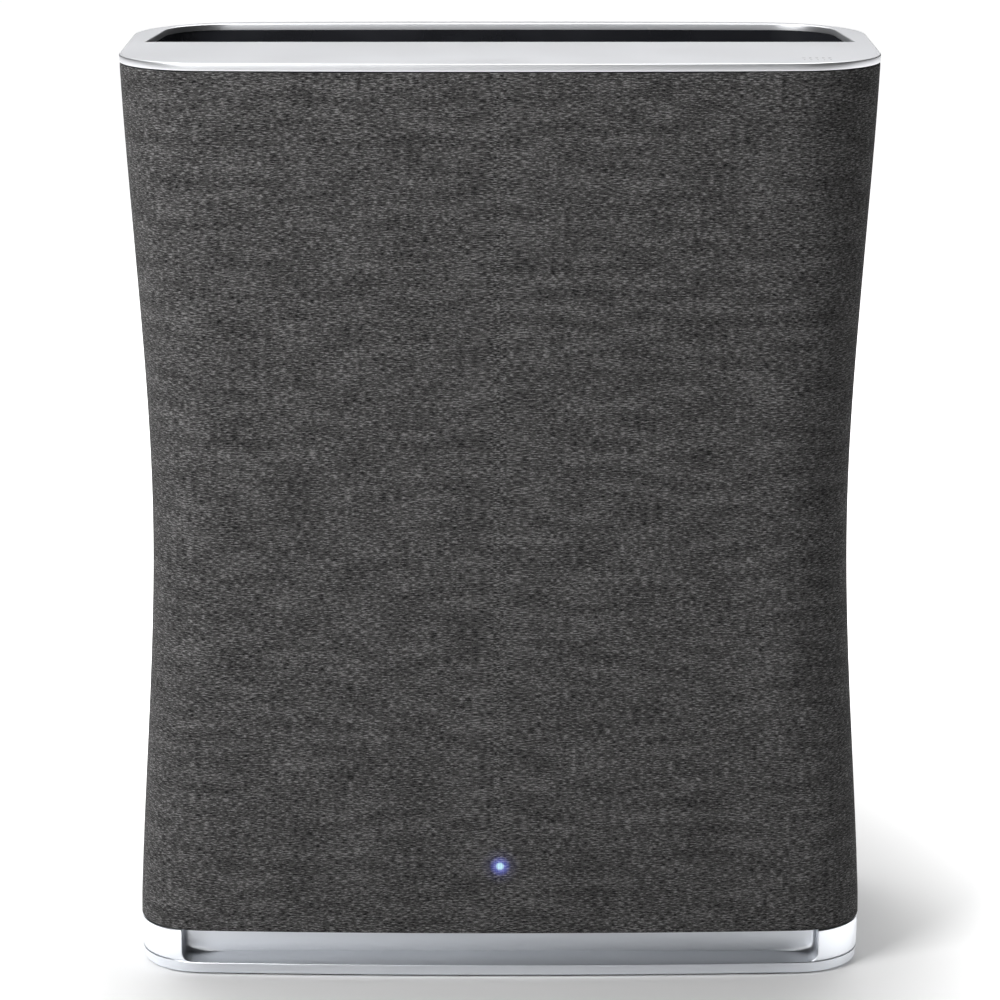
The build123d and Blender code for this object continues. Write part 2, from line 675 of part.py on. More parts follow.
with BuildPart() as top_frame:
    add(outline(HEIGHT, 0, SKIRT_BOTTOM))
    extrude(amount=HEIGHT - SKIRT_BOTTOM)
    chamfer(top_frame.edges().group_by(Axis.Z)[-1], TOP_CHAMFER)
    with BuildSketch(Plane.XY.offset(SKIRT_BOTTOM)):
        add(outline(HEIGHT, 2.4, 0))
        add(opening_sketch(LIP_WIDTH), mode=Mode.SUBTRACT)
    extrude(amount=SKIN_BOTTOM - SKIRT_BOTTOM, mode=Mode.SUBTRACT)
    with BuildSketch(Plane.XY.offset(SKIRT_BOTTOM)):
        add(opening_sketch(LIP_WIDTH))
    extrude(amount=LIP_BOTTOM - SKIRT_BOTTOM, mode=Mode.SUBTRACT)
    with BuildSketch(Plane.XY.offset(SKIRT_BOTTOM)):
        add(opening_sketch())
    extrude(amount=HEIGHT, mode=Mode.SUBTRACT)
    lip = top_frame.faces().group_by(Axis.Z)[-1].face().inner_wires()[0].edges()
    chamfer(lip, TOP_CHAMFER)
    with BuildSketch(Plane.XY.offset(CARRIER_TOP)):
        with Locations(*screw_places):
            Circle(BOSS_RADIUS)
    extrude(amount=SKIN_BOTTOM - CARRIER_TOP)
    with Locations(*[(x, y, CARRIER_TOP) for x, y in screw_places]):
        Cylinder(SCREW_HOLE, 4.5, align=(Align.CENTER, Align.CENTER, Align.MIN), mode=Mode.SUBTRACT)
    add(touch_symbols.part, mode=Mode.SUBTRACT)
    add(indicator_lenses.part, mode=Mode.SUBTRACT)
save(top_frame.part, "top_frame")

with BuildPart() as top_frame_screws:
    with BuildSketch(Plane.XY.offset(CARRIER_BOTTOM)):
        with Locations(*screw_places):
            Circle(SCREW_RADIUS)
    extrude(amount=10)
    with BuildSketch(Plane.XY.offset(CARRIER_BOTTOM - 2)):
        with Locations(*screw_places):
            Circle(3)
    extrude(amount=2)
save(top_frame_screws.part, "top_frame_screws")

with BuildPart() as touch_board:
    with Locations((184, -94, CARRIER_TOP + 1)):
        Box(62, 22, 1.6, align=(Align.CENTER, Align.CENTER, Align.MIN))
    with Locations(*[(x, CONTROL_Y - 5, CARRIER_TOP + 2.6) for x in (CONTROL_X - 30, CONTROL_X)]):
        Box(8, 8, 1.2, align=(Align.CENTER, Align.CENTER, Align.MIN))
save(touch_board.part, "touch_board")

# ---------------------------------------------------------------- electronics in the foot of the body
with BuildPart() as power_board:
    with Locations((0, 45, TRAY_TOP)):
        Box(150, 70, 1.6, align=(Align.CENTER, Align.CENTER, Align.MIN))
save(power_board.part, "power_board")

with BuildPart() as board_components:
    with Locations((-45, 45, TRAY_TOP + 1.6)):
        Box(32, 30, 26, align=(Align.CENTER, Align.CENTER, Align.MIN))
    with Locations((0, 40, TRAY_TOP + 1.6), (20, 55, TRAY_TOP + 1.6)):
        Cylinder(8, 22, align=(Align.CENTER, Align.CENTER, Align.MIN))
    with Locations((52, 45, TRAY_TOP + 1.6)):
        Box(14, 50, 24, align=(Align.CENTER, Align.CENTER, Align.MIN))
save(board_components.part, "board_components")

with BuildPart() as status_light_board:
    with Locations((0, -70, STATUS_LIGHT_Z)):
        Box(26, 1.6, 16)
save(status_light_board.part, "status_light_board")

light_front = -(face_y(0, COVER_INSET) - 0.5)
with BuildPart() as status_light_pipe:
    with BuildSketch(Plane.XZ.offset(70.8)):
        with Locations((0, STATUS_LIGHT_Z)):
            Circle(3.5)
    extrude(amount=-light_front - 70.8)
    fillet(status_light_pipe.faces().sort_by(Axis.Y)[0].edges(), 1.0)
save(status_light_pipe.part, "status_light_pipe")

with BuildPart() as light_bracket:
    with Locations((0, -66.2, (TRAY_TOP + STATUS_LIGHT_Z + 8) / 2)):
        Box(30, 6, STATUS_LIGHT_Z + 8 - TRAY_TOP)
save(light_bracket.part, "light_bracket")

# ---------------------------------------------------------------- magnetic catches of the front cover
catch_places = [(x, z) for x in (-150, 150) for z in (60, 585)]
catch_split = -106.0
with BuildPart() as catch_plates:
    for x, z in catch_places:
        with Locations((x, catch_split, z)):
            Box(24, 2, 14, align=(Align.CENTER, Align.MIN, Align.CENTER))
save(catch_plates.part, "catch_plates")

with BuildPart() as cover_magnets:
    for x, z in catch_places:
        reach = face_y(abs(x) + 12, COVER_INSET) + catch_split - 0.3
        with Locations((x, catch_split - 0.3, z)):
            Box(20, reach, 12, align=(Align.CENTER, Align.MAX, Align.CENTER))
save(cover_magnets.part, "cover_magnets")

with BuildPart() as catch_brackets:
    for x in (-150, 150):
        with Locations((x, catch_split + 2, TRAY_TOP)):
            Box(20, 12, 36, align=(Align.CENTER, Align.MIN, Align.MIN))
        with Locations((x, catch_split + 2, CARRIER_BOTTOM)):
            Box(20, 12, 22, align=(Align.CENTER, Align.MIN, Align.MAX))
save(catch_brackets.part, "catch_brackets")
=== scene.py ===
"""The looks of a floor-standing air purifier: a knitted body between an aluminium top frame and base."""

from dataclasses import dataclass
from enum import Enum
import logging
import math

import bmesh
import bpy
from mathutils import Matrix, Vector


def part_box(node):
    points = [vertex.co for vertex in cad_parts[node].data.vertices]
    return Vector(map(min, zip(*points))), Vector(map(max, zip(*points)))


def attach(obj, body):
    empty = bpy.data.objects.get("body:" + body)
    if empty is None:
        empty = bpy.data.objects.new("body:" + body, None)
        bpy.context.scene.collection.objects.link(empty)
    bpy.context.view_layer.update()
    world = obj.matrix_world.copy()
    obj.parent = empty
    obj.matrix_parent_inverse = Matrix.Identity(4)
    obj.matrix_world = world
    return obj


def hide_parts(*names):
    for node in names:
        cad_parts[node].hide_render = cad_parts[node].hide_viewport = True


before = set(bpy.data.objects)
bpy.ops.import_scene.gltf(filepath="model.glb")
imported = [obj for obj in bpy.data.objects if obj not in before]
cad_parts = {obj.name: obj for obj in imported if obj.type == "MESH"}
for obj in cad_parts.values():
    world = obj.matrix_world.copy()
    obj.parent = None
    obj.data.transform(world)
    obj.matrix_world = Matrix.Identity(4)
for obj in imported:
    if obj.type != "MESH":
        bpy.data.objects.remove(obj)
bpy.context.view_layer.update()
LOG = logging.getLogger("purifier")
MM = 0.001
Colour = tuple[float, float, float, float]
Size = tuple[float, float, float]
Tree = bpy.types.NodeTree
Node = bpy.types.Node
Socket = bpy.types.NodeSocket
Piece = bpy.types.Object
Mesh = bmesh.types.BMesh
Edges = list[bmesh.types.BMEdge]
NOISE_LOW = 0.3  # a pattern keeps nearly all its values between these two
NOISE_HIGH = 0.7
WAVE_CELL = 3.18  # a wave texture repeats about this many times in one cell
WAVE_RATE = 20  # a wave texture's phase grows by this much in one unit


# ------------------------------------------------------------------ small helpers
def linear(code: str, alpha: float = 1.0) -> Colour:
    """Turns an sRGB hex colour into the linear colour that the shaders take.

    Args:
        code: six hex digits, with or without a leading hash.
        alpha: opacity.

    Returns:
        The colour as red, green, blue and alpha.
    """
    code = code.lstrip("#")
    levels = [int(code[at : at + 2], 16) / 255 for at in (0, 2, 4)]
    red, green, blue = [x / 12.92 if x <= 0.04045 else ((x + 0.055) / 1.055) ** 2.4 for x in levels]
    return red, green, blue, alpha


def add_node(tree: Tree, kind: str, inputs: dict | None = None, **settings: object) -> Node:
    """Adds one shader node.

    Args:
        tree: the material's node tree.
        kind: the node's type name.
        inputs: values or output sockets, by input name or number.
        **settings: the node's own properties.

    Returns:
        The new node.
    """
    made = tree.nodes.new(kind)
    for name, value in settings.items():
        setattr(made, name, value)
    for name, value in (inputs or {}).items():
        if isinstance(value, Socket):
            tree.links.new(value, made.inputs[name])
        else:
            made.inputs[name].default_value = value
    return made


def set_ramp(ramp: Node, stops: list[tuple[float, Colour]]) -> None:
    """Fills a colour ramp.

    Args:
        ramp: the colour ramp node.
        stops: position and colour of each stop, lowest first.
    """
    elements = ramp.color_ramp.elements
    while len(elements) < len(stops):
        elements.new(0.5)
    for element, (position, colour) in zip(elements, stops):
        element.position = position
        element.color = colour


def add_object(name: str, data: bpy.types.ID) -> Piece:
    """Makes an object from its data and links it to the scene."""
    made = bpy.data.objects.new(name, data)
    bpy.context.collection.objects.link(made)
    return made


def add_mesh(mesh: Mesh, name: str, finish: "Finish") -> Piece:
    """Turns a bmesh, which is freed, into an object with one finish."""
    data = bpy.data.meshes.new(name)
    mesh.to_mesh(data)
    mesh.free()
    data.materials.append(finish.material())
    return add_object(name, data)


def finish_mesh(mesh: Mesh, name: str, body: str, finish: "Finish") -> Piece:
    """Turns a bmesh into a smooth-shaded piece that rides on a body.

    Args:
        mesh: the finished bmesh, which is freed.
        name: the piece's name.
        body: the body it rides on.
        finish: its surface.

    Returns:
        The new object.
    """
    for face in mesh.faces:
        face.smooth = True
    piece = add_mesh(mesh, name, finish)
    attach(piece, body)
    LOG.info("piece %s rides on %s", name, body)
    return piece


def thicken(piece: Piece, thickness: float, offset: float) -> None:
    """Gives a cloth its wall, inside the surface where the offset is -1 and outside where it is 1."""
    wall = piece.modifiers.new("cloth", "SOLIDIFY")
    wall.thickness = thickness
    wall.offset = offset


def cap(mesh: Mesh, edges: Edges, up: float) -> None:
    """Fills the flat inside loops of edges, facing up where up is 1 and down where it is -1."""
    bmesh.ops.triangle_fill(mesh, use_beauty=True, use_dissolve=False, edges=edges, normal=(0.0, 0.0, up))


def crease(mesh: Mesh, degrees: float = 32.0) -> None:
    """Turns every face outwards and marks the edges sharper than an angle, so that flats stay flat."""
    bmesh.ops.recalc_face_normals(mesh, faces=mesh.faces)
    for edge in mesh.edges:
        edge.smooth = len(edge.link_faces) == 2 and edge.calc_face_angle(0.0) < math.radians(degrees)


def raise_rows(mesh: Mesh, rows: list[list[Vector]], closed: bool) -> list[Edges]:
    """Extrudes a chain of edges through rows of points.

    Args:
        mesh: the bmesh to build in.
        rows: the points of each row, all rows alike in length.
        closed: whether the last point joins the first.

    Returns:
        The edges of the first row and of the last one.
    """
    row = [mesh.verts.new(spot) for spot in rows[0]]
    pairs = list(zip(row, row[1:])) + ([(row[-1], row[0])] if closed else [])
    first = [mesh.edges.new(pair) for pair in pairs]
    edges = first
    for spots in rows[1:]:
        made = bmesh.ops.extrude_edge_only(mesh, edges=edges)["geom"]
        fresh = {item for item in made if isinstance(item, bmesh.types.BMVert)}
        row = [next(e.other_vert(v) for e in v.link_edges if e.other_vert(v) in fresh) for v in row]
        for vert, spot in zip(row, spots):
            vert.co = spot
        edges = [e for e in made if isinstance(e, bmesh.types.BMEdge) and set(e.verts) <= fresh]
    return [first, edges]


# ------------------------------------------------------------------ finishes
@dataclass(frozen=True)
class Finish:
    """A surface: what the real material is, and how light meets it."""

    name: str
    colour: str
    roughness: float
    metallic: float = 0.0
    ior: float = 1.5
    coat: float = 0.0

    def material(self) -> bpy.types.Material:
        """Makes the material once and hands the same one back afterwards.

        Returns:
            The material.
        """
        known = bpy.data.materials.get(self.name)
        if known:
            return known
        made = bpy.data.materials.new(self.name)
        made.use_nodes = True
        tree = made.node_tree
        shader = tree.nodes["Principled BSDF"]
        shader.inputs["Base Color"].default_value = linear(self.colour)
        shader.inputs["Roughness"].default_value = self.roughness
        shader.inputs["Metallic"].default_value = self.metallic
        if not self.metallic:
            shader.inputs["IOR"].default_value = self.ior
        shader.inputs["Coat Weight"].default_value = self.coat
        made.diffuse_color = linear(self.colour)
        self.dress(tree, shader)
        return made

    def dress(self, tree: Tree, shader: Node) -> None:
        """Adds the surface's pattern; the plain finish has none."""

    def texture(
        self, tree: Tree, kind: str, cell: Size, inputs: dict | None = None, **settings: object
    ) -> Node:
        """Adds a texture on object coordinates.

        Args:
            tree: the material's node tree.
            kind: the texture's type name.
            cell: the size of its cells along X, Y and Z, in millimetres.
            inputs: its other inputs.
            **settings: its own properties.

        Returns:
            The texture node.
        """
        where = add_node(tree, "ShaderNodeTexCoord")
        scale = tuple(1 / (MM * size) for size in cell)
        cells = add_node(tree, "ShaderNodeMapping", {"Vector": where.outputs["Object"], "Scale": scale})
        given = {"Vector": cells.outputs["Vector"], "Scale": 1.0, **(inputs or {})}
        return add_node(tree, kind, given, **settings)

    def roughen(self, tree: Tree, shader: Node, factor: Socket, low: float, high: float) -> None:
        """Lets a pattern shift the roughness from low to high."""
        limits = {"From Min": NOISE_LOW, "From Max": NOISE_HIGH, "To Min": low, "To Max": high}
        spread = add_node(tree, "ShaderNodeMapRange", {"Value": factor, **limits})
        tree.links.new(spread.outputs["Result"], shader.inputs["Roughness"])

    def vary(
        self, tree: Tree, shader: Node, factor: Socket, dark: str, light: str, low: float, high: float
    ) -> None:
        """Lets a pattern shift the colour between two shades and the roughness from low to high."""
        ramp = add_node(tree, "ShaderNodeValToRGB", {"Fac": factor})
        set_ramp(ramp, [(NOISE_LOW, linear(dark)), (NOISE_HIGH, linear(light))])
        tree.links.new(ramp.outputs["Color"], shader.inputs["Base Color"])
        self.roughen(tree, shader, factor, low, high)

    def raise_bump(
        self, tree: Tree, shader: Node, height: Socket, depth: float, strength: float = 1.0
    ) -> None:
        """Turns a height into a bump.

        Args:
            tree: the material's node tree.
            shader: the surface shader.
            height: the height pattern, from 0 to 1.
            depth: the height of 1, in millimetres.
            strength: how much of it shows.
        """
        bump = add_node(
            tree, "ShaderNodeBump", {"Height": height, "Distance": depth * MM, "Strength": strength}
        )
        tree.links.new(bump.outputs["Normal"], shader.inputs["Normal"])


@dataclass(frozen=True)
class BlastedAluminium(Finish):
    """Bead-blasted and anodised aluminium: even and silky, with a fine sparkle and no grain direction."""

    grain: float = 0.5  # blasting pits are 0.1 mm; drawn coarser so that they show
    relief: float = 0.004
    cloud: float = 60.0
    shift: float = 0.01

    def dress(self, tree: Tree, shader: Node) -> None:
        """Adds the blasted pits and the slow shifts in the anodising."""
        pits = self.texture(tree, "ShaderNodeTexNoise", (self.grain,) * 3, {"Detail": 3.0})
        clouds = self.texture(tree, "ShaderNodeTexNoise", (self.cloud,) * 3, {"Detail": 2.0})
        low, high = self.roughness - self.shift, self.roughness + self.shift
        self.roughen(tree, shader, clouds.outputs["Fac"], low, high)
        self.raise_bump(tree, shader, pits.outputs["Fac"], self.relief)


@dataclass(frozen=True)
class MouldedPlastic(Finish):
    """Injection-moulded plastic: a spark-eroded grain, or a polished face where the grain is nil."""

    grain: float = 0.7
    relief: float = 0.02
    dark: str = ""
    light: str = ""
    flow: float = 35.0
    smoother: float = 0.04
    rougher: float = 0.05

    def dress(self, tree: Tree, shader: Node) -> None:
        """Adds the mould's grain and slight shifts in shade and gloss."""
        grain = self.texture(tree, "ShaderNodeTexNoise", (self.grain,) * 3, {"Detail": 2.0})
        flow = self.texture(tree, "ShaderNodeTexNoise", (self.flow,) * 3, {"Detail": 2.0})
        dark, light = self.dark or self.colour, self.light or self.colour
        low, high = self.roughness - self.smoother, self.roughness + self.rougher
        self.vary(tree, shader, flow.outputs["Fac"], dark, light, low, high)
        self.raise_bump(tree, shader, grain.outputs["Fac"], self.relief)


@dataclass(frozen=True)
class Rubber(Finish):
    """Moulded synthetic rubber: matt, a little dusty where it is handled."""

    bloom: float = 6.0
    pebble: float = 0.8

    def dress(self, tree: Tree, shader: Node) -> None:
        """Adds bloom patches and a fine pebble."""
        bloom = self.texture(tree, "ShaderNodeTexNoise", (self.bloom,) * 3, {"Detail": 4.0})
        pebble = self.texture(tree, "ShaderNodeTexVoronoi", (self.pebble,) * 3)
        self.vary(tree, shader, bloom.outputs["Fac"], self.colour, "2b2b2c", 0.65, 0.85)
        self.raise_bump(tree, shader, pebble.outputs["Distance"], 0.05)


@dataclass(frozen=True)
class PlatedSteel(Finish):
    """Zinc-plated or ground steel: fine turning lines and faint cloudy plating."""

    grain: Size = (0.4, 8.0, 0.4)
    cloud: float = 5.0
    rougher: float = 0.15

    def dress(self, tree: Tree, shader: Node) -> None:
        """Adds drawn-out grain along the fan's axis and clouds in the plating."""
        lines = self.texture(tree, "ShaderNodeTexNoise", self.grain, {"Detail": 3.0})
        clouds = self.texture(tree, "ShaderNodeTexNoise", (self.cloud,) * 3, {"Detail": 3.0})
        high = self.roughness + self.rougher
        self.vary(tree, shader, clouds.outputs["Fac"], "8f9193", "b4b5b4", self.roughness, high)
        self.raise_bump(tree, shader, lines.outputs["Fac"], 0.01)


@dataclass(frozen=True)
class Sintered(Finish):
    """Pressed and sintered ferrite or stacked laminations: dark grey with thin layers."""

    layer: float = 0.5
    speck: float = 0.9

    def dress(self, tree: Tree, shader: Node) -> None:
        """Adds the layers across the fan's axis and a granular shade."""
        cell = (self.layer * WAVE_CELL,) * 3
        layers = self.texture(tree, "ShaderNodeTexWave", cell, {"Distortion": 0.0}, bands_direction="Y")
        specks = self.texture(tree, "ShaderNodeTexNoise", (self.speck,) * 3)
        self.vary(tree, shader, specks.outputs["Fac"], "262628", "46464a", 0.4, 0.65)
        self.raise_bump(tree, shader, layers.outputs["Fac"], 0.05, 0.6)


@dataclass(frozen=True)
class EnamelledWire(Finish):
    """Wound copper wire under clear enamel: close round turns with a warm gloss."""

    wire: float = 0.8

    def dress(self, tree: Tree, shader: Node) -> None:
        """Adds the turns of wire as parallel rounds, with painted shade in their grooves and a painted
        highlight on their crests.
        """
        cell = (self.wire * WAVE_CELL,) * 3
        turns = self.texture(
            tree, "ShaderNodeTexWave", cell, {"Distortion": 1.2}, bands_direction="DIAGONAL"
        )
        # the colour follows the rounds' height: painted shade in the grooves, painted highlight on the
        # crests
        self.vary(tree, shader, turns.outputs["Fac"], "6d2c14", "c9743c", 0.2, 0.35)
        self.raise_bump(tree, shader, turns.outputs["Fac"], 0.3)


@dataclass(frozen=True)
class FilterPaper(Finish):
    """Glass-fibre filter paper: soft white with tangled fibres and folds a little greyer."""

    fibre: Size = (0.5, 0.5, 2.0)

    def dress(self, tree: Tree, shader: Node) -> None:
        """Adds tangled fibres and the shade of thicker paper."""
        tangle = {"Detail": 5.0, "Distortion": 1.5}
        fibres = self.texture(tree, "ShaderNodeTexNoise", self.fibre, tangle)
        self.vary(tree, shader, fibres.outputs["Fac"], "d9d8d2", "f4f3ee", 0.85, 0.95)
        self.raise_bump(tree, shader, fibres.outputs["Fac"], 0.12)


@dataclass(frozen=True)
class CarbonGranules(Finish):
    """Activated-carbon granules held in a honeycomb: black rounds of 2 to 3 mm with bright facets."""

    granule: float = 2.6

    def dress(self, tree: Tree, shader: Node) -> None:
        """Adds the granules as Voronoi cells, each with its own shade."""
        cells = self.texture(tree, "ShaderNodeTexVoronoi", (self.granule,) * 3)
        shade = add_node(tree, "ShaderNodeSeparateColor", {"Color": cells.outputs["Color"]})
        self.vary(tree, shader, shade.outputs["Red"], "0d0d0e", "333335", 0.45, 0.75)
        fall = {0: 1.0, 1: cells.outputs["Distance"]}
        rounds = add_node(tree, "ShaderNodeMath", fall, operation="SUBTRACT")
        self.raise_bump(tree, shader, rounds.outputs["Value"], 1.2)


@dataclass(frozen=True)
class SolderMask(Finish):
    """A printed circuit board under green solder mask, with copper runs showing through."""

    pitch: float = 2.5

    def dress(self, tree: Tree, shader: Node) -> None:
        """Adds the runs as the edges of a square-cell pattern."""
        cell = (self.pitch * 2, self.pitch, self.pitch)
        runs = self.texture(tree, "ShaderNodeTexVoronoi", cell, distance="CHEBYCHEV", feature="F1")
        self.vary(tree, shader, runs.outputs["Distance"], "0c3a22", "1c6b3d", 0.3, 0.38)
        self.raise_bump(tree, shader, runs.outputs["Distance"], 0.05)


@dataclass(frozen=True)
class ClearAcrylic(Finish):
    """Moulded clear acrylic of a light pipe: bright, with a faint inner haze."""

    glow: str = ""
    glow_power: float = 1.5
    haze: float = 3.0
    clarity: float = 0.7

    def dress(self, tree: Tree, shader: Node) -> None:
        """Makes the acrylic clear, lit where a glow is given."""
        haze = self.texture(tree, "ShaderNodeTexNoise", (self.haze,) * 3, {"Detail": 2.0})
        self.vary(tree, shader, haze.outputs["Fac"], self.colour, "ffffff", 0.08, 0.2)
        shader.inputs["Transmission Weight"].default_value = self.clarity
        if self.glow:
            shader.inputs["Emission Color"].default_value = linear(self.glow)
            shader.inputs["Emission Strength"].default_value = self.glow_power


@dataclass(frozen=True)
class WovenRibbon(Finish):
    """Polyester ribbon in plain weave, 0.5 mm threads drawn at 0.8 mm so that they show."""

    thread: float = 0.8

    def dress(self, tree: Tree, shader: Node) -> None:
        """Adds over-and-under threads on the ribbon's own map."""
        sheet = add_node(tree, "ShaderNodeUVMap", uv_map="cloth")
        scale = (1 / (MM * self.thread),) * 3
        threads = add_node(tree, "ShaderNodeMapping", {"Vector": sheet.outputs["UV"], "Scale": scale})
        weave = add_node(tree, "ShaderNodeTexChecker", {"Vector": threads.outputs["Vector"], "Scale": 1.0})
        self.vary(tree, shader, weave.outputs["Fac"], "1b3c7a", "2c58a6", 0.75, 0.85)
        self.raise_bump(tree, shader, weave.outputs["Fac"], 0.1)
        shader.inputs["Sheen Weight"].default_value = 0.3


@dataclass(frozen=True)
class StudioSweep(Finish):
    """A white studio floor painted with a glow away from the product; near it the painted glow is left out,
    so there the floor shows only its lamp light and real shadow.
    """

    near: float = 0.24
    far: float = 0.66
    painted_glow: float = 1.0
    spill: float = 0.12  # share of the painted glow that matt surfaces receive
    mirrored: float = 1.7  # how far out the painted glow is full in reflections, as a multiple of near; reflections see a painted brighter floor closer in
    plan: Size = (1.25, 0.75, 1.0)  # the pool without painted glow is longer front to back than side to side
    front: tuple[float, float] = (-1.2, -0.1)  # the painted glow fades between these places in front, to a small share farther in front
    front_painted_glow: float = 0.05

    def dress(self, tree: Tree, shader: Node) -> None:
        """Adds the painted glow, which grows with the distance from the middle and fades far in front."""
        where = add_node(tree, "ShaderNodeTexCoord")
        plan = add_node(
            tree, "ShaderNodeMapping", {"Vector": where.outputs["Object"], "Scale": self.plan}
        )
        away = add_node(tree, "ShaderNodeVectorMath", {0: plan.outputs["Vector"]}, operation="LENGTH")
        axes = add_node(tree, "ShaderNodeSeparateXYZ", {"Vector": where.outputs["Object"]})
        ray = add_node(tree, "ShaderNodeLightPath")
        ends = {"To Min": self.far, "To Max": self.near * self.mirrored}
        reach = add_node(tree, "ShaderNodeMapRange", {"Value": ray.outputs["Is Glossy Ray"], **ends})
        start, end = self.front
        fade = {"From Min": start, "From Max": end, "To Min": self.front_painted_glow}
        behind = add_node(
            tree,
            "ShaderNodeMapRange",
            {"Value": axes.outputs["Y"], **fade},
            interpolation_type="SMOOTHSTEP",
        )
        grow = {"From Min": self.near, "From Max": reach.outputs["Result"], "To Max": self.painted_glow}
        ring = add_node(
            tree,
            "ShaderNodeMapRange",
            {"Value": away.outputs["Value"], **grow},
            interpolation_type="SMOOTHSTEP",
        )
        pair = {0: ring.outputs["Result"], 1: behind.outputs["Result"]}
        painted_glow = add_node(tree, "ShaderNodeMath", pair, operation="MULTIPLY")
        ends = {"To Min": 1.0, "To Max": self.spill}
        held_back = add_node(tree, "ShaderNodeMapRange", {"Value": ray.outputs["Is Diffuse Ray"], **ends})
        pair = {0: painted_glow.outputs["Value"], 1: held_back.outputs["Result"]}
        seen = add_node(tree, "ShaderNodeMath", pair, operation="MULTIPLY")
        shader.inputs["Emission Color"].default_value = (1.0, 1.0, 1.0, 1.0)
        tree.links.new(seen.outputs["Value"], shader.inputs["Emission Strength"])


@dataclass(frozen=True)
class LitCard(Finish):
    """A studio card lit from behind."""

    power: float = 1.3

    def dress(self, tree: Tree, shader: Node) -> None:
        """Makes the card glow evenly."""
        shader.inputs["Emission Color"].default_value = (1.0, 1.0, 1.0, 1.0)
        shader.inputs["Emission Strength"].default_value = self.power


